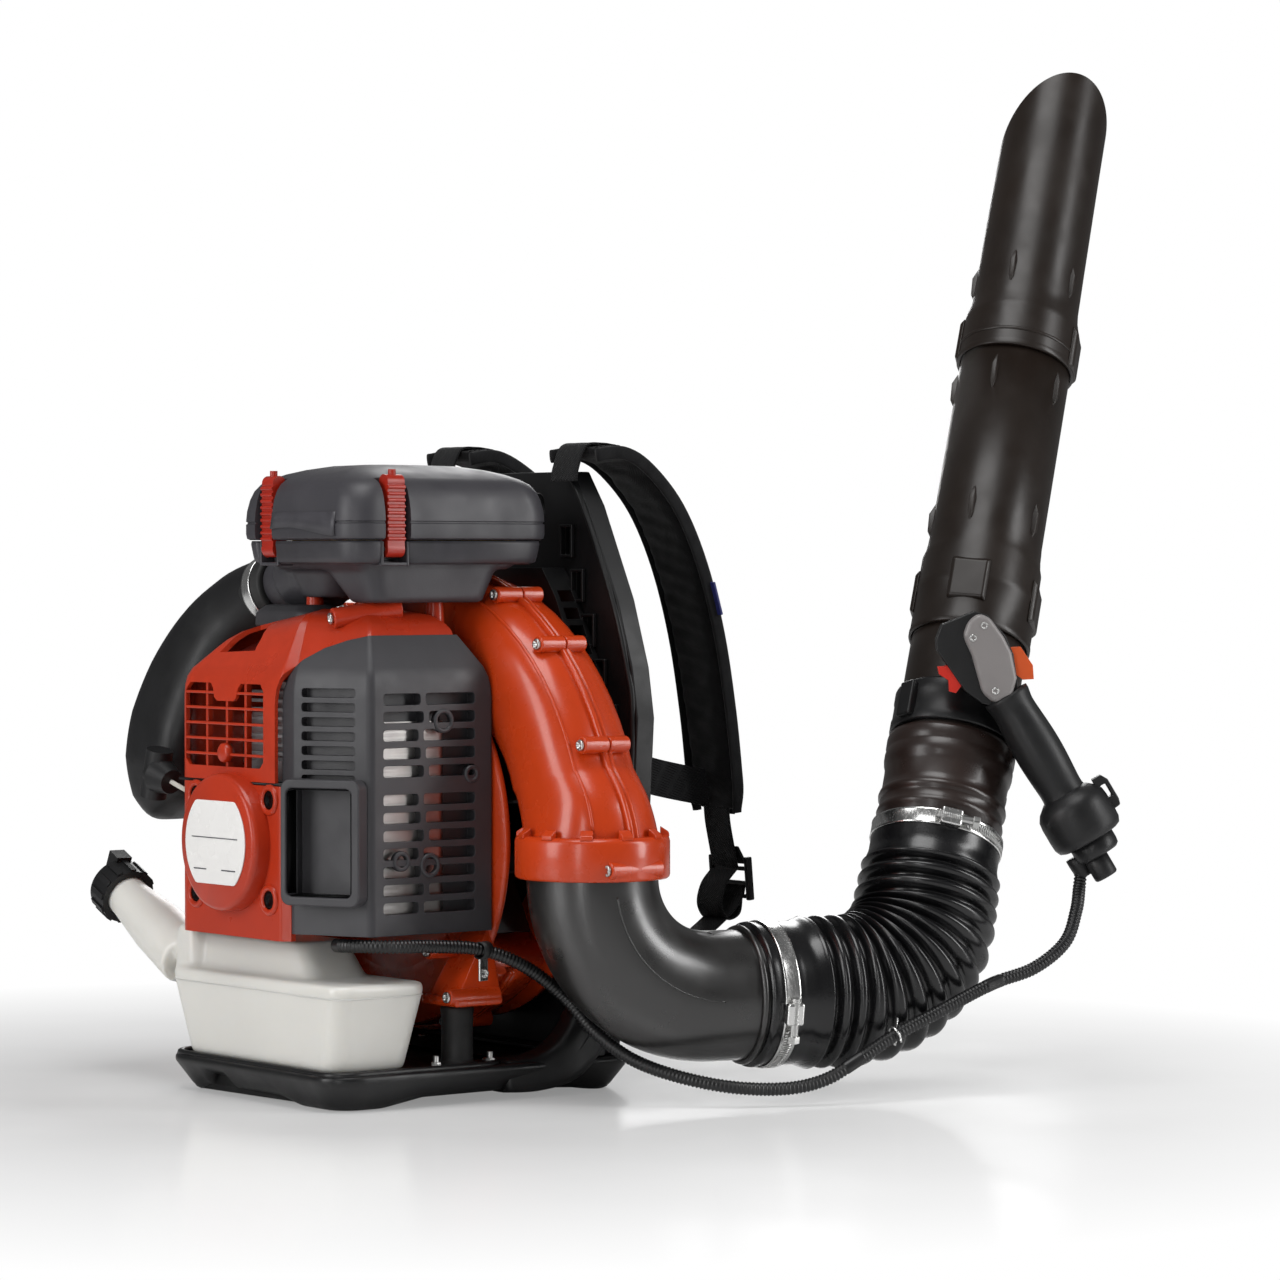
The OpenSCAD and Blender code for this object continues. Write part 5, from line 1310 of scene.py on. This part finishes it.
def make_covers():
    ORANGE_R = [3, 17, 5, 5, 9, 3]
    GREY_R = [3, 3, 6, 8, 3]
    # Top cover
    top = hood_solid("top_shell", ORANGE_PLAN, ORANGE_R, 251.4)
    cut(top, [hood_solid("t1", ORANGE_PLAN, ORANGE_R, 240, 3.0)])
    cut(top, [front_prism("t2", GREY_EDGE, -160, 20), block("t3", (-98, -20, 240), (130, 20, 420))])
    vent = [(-82, 262), (20, 262), (25, 267), (25, 322), (20, 328), (-8, 328), (-12, 324), (-14, 317),
            (-18, 314), (-42, 314),
            (-46, 317), (-48, 324), (-52, 328), (-82, 328), (-88, 322), (-88, 267)]
    cut(top, [front_prism("t4", vent, -160, -140)])
    scoop = hull("t5", [V(x, y, z) for x, y, z in ((-62, -137, 352), (-6, -137, 354), (-62, -137, 392),
                                                   (-6, -137, 394),
                                                  (-48, -104, 352), (-20, -104, 352), (-48, -104, 400),
                                                   (-20, -104, 400))])
    cut(top, [scoop])
    soften(top, 1.0, 2, 40)
    wear(top, orange, "root", "orange_plastic", "top_cover")
    # Painted shade: a darker orange slab on the floor of the scoop
    well = hull("scoop_painted_shade", [V(x, y, z) for x, y,
                               z in ((-64, -139, 338), (-4, -139, 340), (-50, -100, 340), (-18, -100, 340),
                                                         (-50, -102, 362), (-18, -102, 364),
                                     (-64, -139, 341), (-4, -139, 343))])
    wear(well, painted_shade_orange, "root", "orange_plastic")
    fins = []
    for k in range(5):
        z = 270.5 + 12.2 * k
        fins.append(soften(block(f"f{k}", (-90, -149.2, z), (27, -143.5, z + 2.2)), 0.6, 2))
    for k, x in enumerate((-60, -31, -4)):
        fins.append(soften(block(f"g{k}", (x - 1.6, -147.4, 260), (x + 1.6, -142, 329)), 0.5, 2))
    wear(join("vent_fins", fins), orange, "root", "orange_plastic")
    knob = revolve("vent_boss", [(0.01, 4.4), (6.0, 4.4), (7.4, 3.2), (7.8, 0), (7.8, -3), (0.01, -3)],
                   Matrix.Translation(V(-31, -148, 273)) @ turn("X", 90), 40, ring=False)
    wear(knob, orange, "root", "orange_plastic")
    # Starter cover with its lip, round boss and four screw wells, whose insides are dark discs of painted
    # shade
    starter = hood_solid("starter_shell", ORANGE_PLAN, ORANGE_R, 128.5)
    cut(starter, [hood_solid("s1", ORANGE_PLAN, ORANGE_R, 120, 3.0)])
    cut(starter, [block("s2", (-130, -160, 249), (130, 20, 420)),
                  block("s3", (54.5, -160, 120), (130, 20, 420)),
                  block("s4", (-98.8, -60, 120), (130, 20, 420)),
                  block("s5", (-110, -60, 120), (-90, 20, 420))])
    drum = revolve("s6", [(0.01, 15), (50, 15), (53, 13.4), (54.2, 10), (55, 0), (55, -6), (0.01, -6)],
                   Matrix.Translation(V(-20, -149.6, 203)) @ turn("X", 90), 96, ring=False)
    wear(soften(starter, 1.0, 2, 40), orange, "root", "orange_plastic", "starter_cover")
    wear(drum, orange, "root", "orange_plastic")
    rings, shade_discs = [], []
    for k, (x, z) in enumerate(((-72, 238), (34, 238), (-72, 160), (34, 160))):
        m = Matrix.Translation(V(x, -149.6, z)) @ turn("X", 90)
        rings.append(revolve(f"r{k}", [(7.4, -3), (12.4, -3), (12.2, 0.8), (11, 2.4), (8.6, 2.4),
                                       (7.4, 1.2)], m, 40))
        shade_discs.append(revolve(f"w{k}", [(0.01, 0.2), (3.4, 0.2), (3.4, 0.6), (7.5, 0.6), (7.5, -2),
                                       (0.01, -2)], m, 40, ring=False))
    wear(join("screw_rings", rings), orange, "root", "orange_plastic")
    wear(join("screw_well_shade", shade_discs), painted_shade_black, "root", "black_plastic")
    face = Matrix.Translation(V(-20, -164.6, 203)) @ turn("X", 90)
    outline = []
    for k in range(96):
        a = TAU * k / 96
        outline.append((43 * math.cos(a), max(-33, min(33, 43 * math.sin(a)))))
    plate = prism("starter_plate", outline, lambda u, v, w: face @ V(u, v, w), 0, 1.4)
    wear(soften(plate, 0.5, 2), badge_white, "root", "badge_white", "starter_badge")
    bars = [block("b1", (-33, 3.2, 1.3), (33, 4.0, 1.65), face),
            block("b2", (-30, -22, 1.3), (-12, -21, 1.65), face),
            block("b3", (10, -22, 1.3), (30, -21, 1.65), face)]
    wear(join("plate_lines", bars), badge_line, "root", "badge_white")
    lip = front_prism("cover_lip", [(-100, 249.2), (50, 249.2), (50, 251.2), (-100, 251.2)], -148.6, -120)
    wear(lip, satin_black, "root", "black_plastic")
    # Grey grille cover
    grille = hood_solid("grille_shell", GREY_PLAN, GREY_R, 134.4)
    cut(grille, [hood_solid("h1", GREY_PLAN, GREY_R, 120, 3.0)])
    outside = [(-20, 100), (41.5, 100)] + GREY_EDGE[1:8] + [(135, 372), (135, 440), (-20, 440)]
    cut(grille, [front_prism("h2", outside, -170, 30), block("h3", (20, -0.5, 120), (114, 20, 420))])
    slots = []
    rows = [322 - 14 * k for k in range(5)] + [244 - 14 * k for k in range(7)]
    for n, z in enumerate(rows):
        shift = (0, 3, -2)[n % 3]
        for y0, y1 in ((-101, -66 + shift), (-61 + shift, -14)):
            slots.append(prism(f"h4{n}{y0}", round_rect(y0, y1, z - 9, z, 2.6, 4, 2), lambda u, v,
                               w: V(w, u, v), 110, 126))
    slant = Matrix.Translation(V(57.6, -142.6, 0)) @ turn("Z", 25.4)
    for n in range(7):
        z = 326 - 11.2 * n
        slots.append(prism(f"h5{n}", round_rect(7, 55, z - 7, z, 2.2, 4, 2), lambda u, v,
                           w: slant @ V(u, w, v), -8, 8))
    slots.append(block("h6", (3, -8, 160), (58, 8, 247), slant))
    slots.append(block("h7", (30, -160, 120), (54.2, -138, 250.4)))
    for k in range(0, len(slots), 8):
        cut(grille, slots[k:k + 8])
    soften(grille, 0.7, 2, 40)
    wear(grille, cover_grey, "root", "cover_grey", "grille_cover")
    mouth = cad_copy("exhaust_bezel", "exhaust_frame", 2.6, 4, 40)
    wear(mouth, cover_grey, "root", "cover_grey", "exhaust_frame")
    # Painted shade: near-black plates line the pocket behind the exhaust bezel
    pocket = []
    for low, high in (((1.2, -12, 165.2), (58.8, 10, 166.2)), ((1.2, -12, 247.8), (58.8, 10, 248.8)),
                      ((1.2, -12, 165.2), (2.2, 10, 248.8)),
                      ((57.8, -12, 165.2), (58.8, 10, 248.8)), ((1.2, 9, 165.2), (58.8, 10, 248.8))):
        pocket.append(block("k", low, high, slant))
    wear(join("exhaust_painted_shade", pocket), painted_shade_black, "root", "black_plastic")
    # Spark plug lid on the roof
    lid = [V(x, y, z) for z, k in ((372, 0), (384, 0.5), (390, 7))
           for x, y in round_rect(-66 + k, 14 - k, -104 + k, -58 - k, 14, 6, 3)]
    wear(soften(hull("plug_lid", lid), 3, 4), cover_grey, "root", "cover_grey")
    roof_boss = soften(rod("roof_boss", (66, -112, 380), (84, -60, 388), 8, 32), 1.2, 3)
    wear(roof_boss, orange, "root", "orange_plastic")
    torx("roof_screw", (65.6, -113.2, 379.8), (-0.3, -0.94, -0.1), 4.6, "root", 1.6)
    # Round eyes on the grille
    eyes = []
    for y, z, r in ((-44, 300, 9.5), (-17, 258, 7), (-84, 192, 8), (-57, 188, 9.5)):
        m = Matrix.Translation(V(119.4, y, z)) @ turn("Y", 90)
        eyes.append(revolve(f"eye{z}", [(r - 3.4, -3), (r, -3), (r, 0.9), (r - 0.9, 1.8), (r - 2.6, 1.8),
                                        (r - 3.4, 0.9)], m, 40))
    wear(join("grille_eyes", eyes), cover_grey, "root", "cover_grey")
    muff = cad_copy("muffler_box", "muffler", 1.4, 3, 40)
    wear(muff, muffler_steel, "root", "muffler_steel", "muffler")


# ---------------------------------------------------------------- air cleaner
LID_PLAN = [(-48, 70), (-48, -127), (116, -127), (116, 70)]
LID_SIDES = [(2.4, 441.3), (0.6, 442.5), (0, 446), (0, 453.6), (0.9, 454.2), (0.9, 455.4), (0, 456),
             (0.6, 464), (2.4, 473), (5, 480),
             (9, 485.5), (15, 489.5), (24, 493.5), (36, 497), (52, 500), (70, 501)]


def plan_points(inset, z):
    """Soft-cornered outline of the cleaner at a height."""
    return [V(q.x, q.y, z) for q in rounded_plan(LID_PLAN, [22, 20, 24, 26], inset, 10)]


def make_cleaner():
    cover = loft("cleaner_lid", [plan_points(i, z) for i, z in LID_SIDES])
    tools = [block("l1", (-21, -140, 430), (3, -111, 494)), block("l2", (101, -96, 430), (130, -72, 494))]
    cut(cover, tools)
    cut(cover, [hull("l7", [V(x, y, z) for x, y, z in ((101, -99, 500), (101, -69, 500), (124, -99, 500),
                                                       (124, -69, 500),
                                                       (101, -95, 480), (101, -73, 480), (124, -95, 480),
                                                       (124, -73, 480))])])
    soften(cover, 1.6, 3, 36)
    wear(cover, filter_grey, "cleaner_cover", "filter_grey", "filter_cover")
    # Skirt with a wavy lower edge on the near side
    x0, x1 = 4, 92
    along = [x0 + (x1 - x0) * k / 16 for k in range(17)]
    outer = [V(x, -129.4, 444 + 7 * math.sin(math.pi * (x + 50) / 150) ** 2) for x in along]
    inner = [p + V(0, 3.6, 0) for p in outer]
    high_in = [V(p.x, -126.2, 463) for p in outer]
    high_out = [V(p.x, -127.2, 463) for p in outer]
    skirt = loft("skirt", [list(corners) for corners in zip(outer, inner, high_in, high_out)])
    wear(join("lid_skirt", [skirt]), filter_grey, "cleaner_cover", "filter_grey")
    rim = loft("cleaner_rim", [plan_points(9, 422), plan_points(5.5, 424), plan_points(4.5, 428),
                               plan_points(3.0, 438), plan_points(3.4, 440.6), plan_points(10, 440.6),
                               plan_points(14, 426)],
               ring=True)
    cut(rim, [block("l5", (-22, -140, 418), (4, -108, 445)), block("l6", (98, -97, 418), (130, -71, 445))])
    wear(rim, filter_grey, "root", "filter_grey", "filter_base")

    def funnel(name, *rings):
        return hull(name, [V(x, y, z) for x0, x1, y0, y1, r, z in rings
                           for x, y in round_rect(x0, x1, y0, y1, r, 5, 2)])

    parts = [funnel("n1", (-34, 102, -112, 54, 14, 426), (-30, 98, -104, 40, 14, 418)),
             funnel("n2", (-28, 40, -98, 10, 16, 422), (-20, 28, -88, -20, 14, 396)),
             funnel("n3", (30, 100, -104, 30, 16, 422), (56, 96, -92, 16, 12, 392)),
             hull("n4", [AT_HORN @ V(r * math.cos(TAU * k / 40), r * math.sin(TAU * k / 40), z)
                         for r, z in ((34, -6), (27, 30)) for k in range(40)]),
             rod("n5", AT_HORN @ V(0, 0, 20), AT_HORN @ V(0, 0, 82), 21.6, 48)]
    body = fuse("cleaner_body", parts, 2.2, 7, 0.5)
    wear(body, filter_grey, "root", "filter_grey")
    posts = []
    for x, y in ((-6, -80), (74, -80), (-6, -20), (74, -20)):
        posts.append(soften(rod(f"p{x}{y}", (x, y, 366), (x, y, 400), 8, 32, 6.4), 1, 2))
    wear(join("cleaner_posts", posts), orange, "root", "orange_plastic")
    for side, node, body_name in (("left", "latch_left", "left_latch"),
                                  ("right", "latch_right", "right_latch")):
        obj = cad_copy(f"{side}_latch_blade", node, 0.7, 2, 40)
        wear(obj, latch_red, body_name, "latch_red", node)
    # Latch pockets: cheeks and a back plate
    cheeks = []
    for m in (Matrix.Translation(V(-9, -117, 434)), Matrix.Translation(V(107, -84, 434)) @ turn("Z", 90)):
        for s in (-1, 1):
            cheeks.append(soften(block("c", (s * 12 - 1.3, -5, -13), (s * 12 + 1.3, 10, 6), m), 0.8, 2))
        cheeks.append(soften(block("d", (-12, 7.5, -13), (12, 10, -4), m), 0.8, 2))
        cheeks.append(soften(block("e", (-12, -4.5, -13), (12, 10, -10.2), m), 0.8, 2))
        cheeks.append(rod("f", m @ V(-12.5, 0, 0), m @ V(12.5, 0, 0), 1.95, 20))
    wear(join("latch_pockets", cheeks), filter_grey, "root", "filter_grey")
    path = [V(-92, -60, 402), V(-110, -61, 398), V(-134, -64, 386), V(-160, -70, 362), V(-182, -75, 328),
            V(-195, -79, 292),
            V(-200, -80, 262), V(-197, -80, 238), V(-190, -80, 222)]
    sizes = [(25.4, 25.4), (27, 27), (29, 30), (33, 34), (38, 38), (42, 41), (43.5, 42), (40, 39), (28, 28)]
    loops = []
    fine = curve_through(path, 5)
    for i, (p, _, _, d) in enumerate(frames_along(fine)):
        a, b = size_at(sizes, i / 5)
        n = V(0, 1, 0).cross(d).normalized()
        loops.append(super_loop(p, V(0, 1, 0), n, a, b, 2.3 + 1.2 * smoothstep(5, 25, i), 48))
    loops.append([loops[-1][k].lerp(fine[-1] + V(2, 0, -10), 0.45) for k in range(48)])
    duct = loft("intake_duct_shell", loops)
    boot = rod("duct_boot", (-170, -70, 283), (-132, -70, 283), 22, 48)
    wear(duct, satin_black, "root", "black_plastic", "intake_duct")
    wear(soften(boot, 2, 3), mount_black, "root", "black_plastic")
    cuff = revolve("horn_cuff", [(21.7, 52), (26.6, 52), (27.4, 54), (27.4, 60), (27.9, 61), (27.9, 76),
                                 (27.4, 77), (27.4, 84), (25.4, 86), (21.7, 86)],
                   AT_HORN, 72)
    wear(cuff, mount_black, "root", "black_plastic")


# ---------------------------------------------------------------- harness
STRAPS = {"right": 90, "left": -82}
PAD_PATHS = {
    "right": [(106, 509), (134, 511), (160, 498), (190, 467), (214, 421), (232, 364), (244, 301),
              (251, 246), (254, 218)],
    "left": [(106, 509), (134, 511), (166, 496), (205, 466), (238, 424), (260, 370), (264, 310), (253, 250),
             (238, 214)],
}


def pad_frames(side, steps=6):
    line = curve_through([V(STRAPS[side], y, z) for y, z in PAD_PATHS[side]], steps)
    out = []
    for i, p in enumerate(line):
        d = (line[min(i + 1, len(line) - 1)] - line[max(i - 1, 0)]).normalized()
        out.append((p, V(1, 0, 0), V(0, -d.z, d.y).normalized(), d))
    return out


def puff(obj, voxel, pressure, cap):
    """Cloth pressure swells the padding, then the result is kept with a cap on each move."""
    m = obj.modifiers.new("even", "REMESH")
    m.mode = "VOXEL"
    m.voxel_size = voxel
    apply(obj)
    rest = [v.co.copy() for v in obj.data.vertices]
    m = obj.modifiers.new("cloth", "CLOTH")
    c = m.settings
    c.use_pressure = True
    c.uniform_pressure_force = pressure
    c.effector_weights.gravity = 0
    c.tension_stiffness = 12
    c.compression_stiffness = 12
    c.bending_stiffness = 0.6
    m.point_cache.frame_start = 1
    m.point_cache.frame_end = 20
    for f in range(1, 21):
        scene.frame_set(f)
    apply(obj)
    scene.frame_set(1)
    for v, p in zip(obj.data.vertices, rest):
        move = v.co - p
        if move.length > cap:
            v.co = p + move * (cap / move.length)
    s = obj.modifiers.new("fine", "SUBSURF")
    s.levels = s.render_levels = 1
    apply(obj)
    obj.data.shade_smooth()
    return obj


def make_pad(side):
    rows = pad_frames(side)
    loops = []
    last = len(rows) - 1
    for i, (p, s, n, _) in enumerate(rows):
        t = i / last
        half = 29 - 4 * smoothstep(0.88, 1, t) - 2.5 * (1 - smoothstep(0, 0.1, t))
        thick = 5.2 - 1.6 * smoothstep(0.9, 1, t)
        loops.append(super_loop(p, s, n, half, thick, 3.6, 40))
    pad = loft(f"{side}_pad", loops)
    puff(pad, 0.0048, 4.0, 0.0022)
    # Shallow waves over the cloth, strongest along the middle
    for v in pad.data.vertices:
        q = v.co / MM
        wave = 0.55 * math.sin(q.z * 0.19
                               + 1.7 * math.sin(q.x * 0.09)) * math.exp(-((q.x - STRAPS[side]) / 26) ** 2)
        wave += 0.35 * math.sin(q.z * 0.47 + q.x * 0.13)
        v.co.y += wave * MM
    pad.data.update()
    wear(pad, pad_cloth, "root", "pad_fabric")
    for e in (-1, 1):
        edge = [p + s * e * (30.2 - 4 * smoothstep(0.88, 1, i / last)) + n * 0.4
                for i, (p, s, n, _) in enumerate(rows)]
        loops = []
        for i, (p, _, _, _) in enumerate(frames_along(edge)):
            n = rows[i][2]
            loops.append(super_loop(p, V(1, 0, 0), n, 2.4, 5.4 - 1.4 * smoothstep(0.9, 1, i / last), 2.6, 16))
        wear(loft(f"{side}_binding_{'ab'[e > 0]}", loops), binding_cloth, "root", "pad_fabric")
    # Stitches along both long sides
    threads = []
    for e in (-1, 1):
        line = curve_through([p + s * e * 24 + n * 6.4 for p, s, n, _ in rows], 3)
        run = 0.0
        for a, b in zip(line, line[1:]):
            run += (b - a).length
            if run > 4.4:
                run = 0.0
                u = (b - a).normalized()
                threads.append(rod("st", a, a + u * 2.7, 0.42, 6))
    wear(join(f"{side}_stitches", threads), binding_cloth, "root", "pad_fabric")
    # Centre web sewn along the pad's outside
    ribbon(f"{side}_pad_web", [p + n * 7.2 for p, s, n, _ in rows[3:-1]], [n for p, s, n, _ in rows[3:-1]],
           17, 1.4)


def ribbon(name, line, normals, half, thick, body="root", slot="webbing_black"):
    """Flat webbing with rounded selvedges."""
    loops = []
    for i, p in enumerate(line):
        n = normals[i]
        d = (line[min(i + 1, len(line) - 1)] - line[max(i - 1, 0)]).normalized()
        s = d.cross(n).normalized()
        n = s.cross(d).normalized()
        loops.append([p + s * u * half + n * w * thick for u, w in
                      ((-1, -0.35), (-0.94, -0.5), (-0.5, -0.42), (0, -0.5), (0.5, -0.42), (0.94, -0.5),
                       (1, -0.35),
                       (1, 0.35), (0.94, 0.5), (0.5, 0.42), (0, 0.5), (-0.5, 0.42), (-0.94, 0.5),
                       (-1, 0.35))])
    obj = loft(name, loops)
    wear(obj, web_cloth, body, slot)
    return obj


def web_run(name, x, points, half=17, thick=2.0, sway=0.0):
    fine = curve_through([V(x + sway * math.sin(i * 1.3), y, z) for i, (y, z) in enumerate(points)], 6)
    normals = []
    for i in range(len(fine)):
        d = (fine[min(i + 1, len(fine) - 1)] - fine[max(i - 1, 0)]).normalized()
        normals.append(V(0, -d.z, d.y).normalized())
    return ribbon(name, fine, normals, half, thick)


def ladder_buckle(name, matrix):
    parts = []
    for y in (-15, -4, 8, 15):
        parts.append(soften(block("bar", (-21, y - 1.8, -1.6), (21, y + 1.8, 1.9), matrix), 0.9, 3))
    for x in (-23, 23):
        parts.append(soften(block("rail", (x - 2.4, -18, -2.6), (x + 2.4, 18, 3.4), matrix), 1.2, 3))
    parts.append(soften(hull("tongue", [matrix @ V(a, b, c) for a, b, c in
                                        ((-21, 12, -1), (21, 12, -1), (-16, 27, 3), (16, 27, 3),
                                         (-21, 12, 2), (21, 12, 2),
                                         (-16, 27, 5.2), (16, 27, 5.2))]), 0.9, 3))
    wear(join(name, parts), satin_black, "root", "black_plastic")


def make_harness():
    for side, x in STRAPS.items():
        make_pad(side)
        ends = PAD_PATHS[side]
        low_y, low_z = ends[-1]
        web_run(f"{side}_web_top", x, [(96, 489), (98, 500), (106, 517), (122, 519), (136, 517),
                                       (150, 510)], 17, 2.0)
        line = curve_through([V(x + 4, 131.6, 262), V(x + 3, 150, 258), V(x + 1, 190, 248),
                              V(x - 1, low_y - 22, 240), V(x, low_y - 8, 238)], 8)
        ribbon(f"{side}_web_level", line, [V(1, -0.25, 0.1).normalized()] * len(line), 15, 1.0)
        web_run(f"{side}_web_drop", x, [(low_y - 1, low_z + 14), (low_y, low_z - 6),
                                        (low_y + 4, low_z - 24), (264, 172)], 16, 2.0, 0.8)
        m = Matrix.Translation(V(x, 270, 163)) @ turn("X", 35) @ turn("X", 90) @ turn("X", -30)
        ladder_buckle(f"{side}_buckle", m)
        web_run(f"{side}_web_return", x, [(272, 158), (268, 146), (252, 130), (222, 112), (180, 100),
                                          (150, 95), (131.6, 93)], 15, 2.0, 0.8)
        # Loose fold of spare webbing under the buckle
        web_run(f"{side}_web_tail", x, [(262, 170), (250, 158), (246, 142), (254, 130), (266, 134),
                                        (268, 148)], 16, 1.8, 0.8)
        # Keeper loop sewn on the pad's foot
        web_run(f"{side}_keeper", x, [(low_y + 9, low_z + 26), (low_y + 10, low_z + 10),
                                      (low_y + 8, low_z - 2)], 13, 2.2)
    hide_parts("shoulder_pads")
    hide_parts("harness_webbing")
    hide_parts("harness_buckles")
    rows = pad_frames("right")
    p, s, n, d = rows[len(rows) * 5 // 9]
    tab = block("b", (-4, -14, -1), (4, 14, 1.2), Matrix.Translation(p + s * 33 + n * 2)
                @ Matrix((s.to_4d(), d.to_4d(), n.to_4d(), (0, 0, 0, 1))).transposed().to_3x3().to_4x4())
    wear(soften(tab, 0.5, 2), tab_blue, "root", "webbing_black")
    # Back pad: quilted panel between the frame and the wearer
    loops = []
    for y, k in ((131, 3), (133, 1), (137, 0), (141, 1), (144.5, 5)):
        loops.append([V(q.x, y, q.z) for q in super_loop(V(0, 0, 285), V(1, 0, 0), V(0, 0, 1), 59 - k,
                                                         143 - k, 5, 64)])
    pad = loft("back_cushion", loops)
    puff(pad, 0.0058, 4.0, 0.0045)
    for v in pad.data.vertices:
        q = v.co / MM
        if q.y > 136:
            for level in (180, 232, 284, 336, 388):
                v.co.y -= 3.4 * math.exp(-((q.z - level) / 3.4) ** 2) * MM
    pad.data.update()
    wear(pad, pad_cloth, "root", "pad_fabric", "back_pad")


# ---------------------------------------------------------------- parts that keep their CAD shape
def make_inside():
    plain = {
        "crankcase": (cast_alloy, "cast_alloy", 1.0), "engine_cylinder": (cast_alloy, "cast_alloy", 0.4),
        "carburettor": (cast_alloy, "cast_alloy", 0.8), "flywheel": (cast_alloy, "cast_alloy", 0.6),
        "piston": (ground_steel, "cast_alloy", 0.3), "piston_pin": (ground_steel, "machined_steel", 0.3),
        "connecting_rod": (ground_steel, "machined_steel", 0.5),
             "crankshaft": (ground_steel, "machined_steel", 0.4),
        "crank_bearings": (ground_steel, "machined_steel", 0.4),
             "throttle_lever": (ground_steel, "machined_steel", 0.2),
        "starter_hub": (ground_steel, "machined_steel", 0.4),
             "ignition_coil": (satin_black, "black_plastic", 0.8),
        "spark_plug": (ceramic, "insulator", 0.4), "spark_plug_cap": (mount_black, "black_plastic", 1.2),
        "starter_pulley": (black, "black_plastic", 0.5), "fan_impeller": (satin_black, "fan_plastic", 0.3),
        "filter_element": (foam, "filter_foam", 0.4), "fuel_pickup": (brass, "pickup_brass", 0.6),
    }
    home = {n: b for b, names in frame["record"]["behaviour"]["bodies"].items() for n in names}
    for node, (material, slot, width) in plain.items():
        obj = cad_copy(node + "_skin", node, width, 2, 40)
        wear(obj, material, home[node], slot, node)
    handle = cad_copy("pull_grip", "starter_handle", 1.6, 3, 40)
    wear(handle, satin_black, "pull_handle", "black_plastic", "starter_handle")
    rope = [V(-99, -139.5, 240), V(-104, -139.5, 240), V(-128, -139.5, 246.5)]
    coil = []
    for k in range(97):
        a = TAU * k / 96 * 0.985
        coil.append(V(-20 + 36.8 * math.cos(a), -139.5, 203 + 36.8 * math.sin(a)))
    cord = sweep("drawn_rope", curve_through([V(-20, -139.5, 240), V(-60, -139.5, 240), V(-99, -139.5, 240),
                                              V(-104, -139.5, 240)], 6), 1.95, 14)
    wear(cord, rope_cloth, "root", "rope_cord", "starter_rope")
    # The part outside the guide runs towards the handle and is left fixed where it is drawn
    a, b = rope[1], rope[2]
    loose = sweep("pull_rope", [a.lerp(b, k / 40) for k in range(41)], 1.95, 14)
    loose.data.materials.append(rope_cloth)
    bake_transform(loose)
    wear(sweep("wound_rope", coil, 1.95, 14), rope_cloth, "rope_pulley", "rope_cord")
    # Clip that holds the conduit on the scroll's foot
    m = Matrix.Translation(V(139, -20, 121)) @ turn("Z", 14)
    loop = revolve("conduit_clip", [(5.8, -5), (6.9, -5), (6.9, 5), (5.8, 5)], m @ turn("X", 90), 40)
    wear(loop, mount_black, "root", "clamp_steel")
    strap = block("clip_strap", (-1, -5, -24), (1, 5, -6), m)
    wear(soften(strap, 0.6, 2), clamp_steel, "root", "clamp_steel")
    torx("clip_screw", m @ V(1, 0, -18), (1, -0.25, 0), 3.6, "root", 1.4)


make_elbow()
make_hose()
make_conduit()
make_tubes()
make_handle()
make_base()
make_frame()
make_tank()
make_scroll()
make_covers()
make_cleaner()
make_harness()
make_inside()
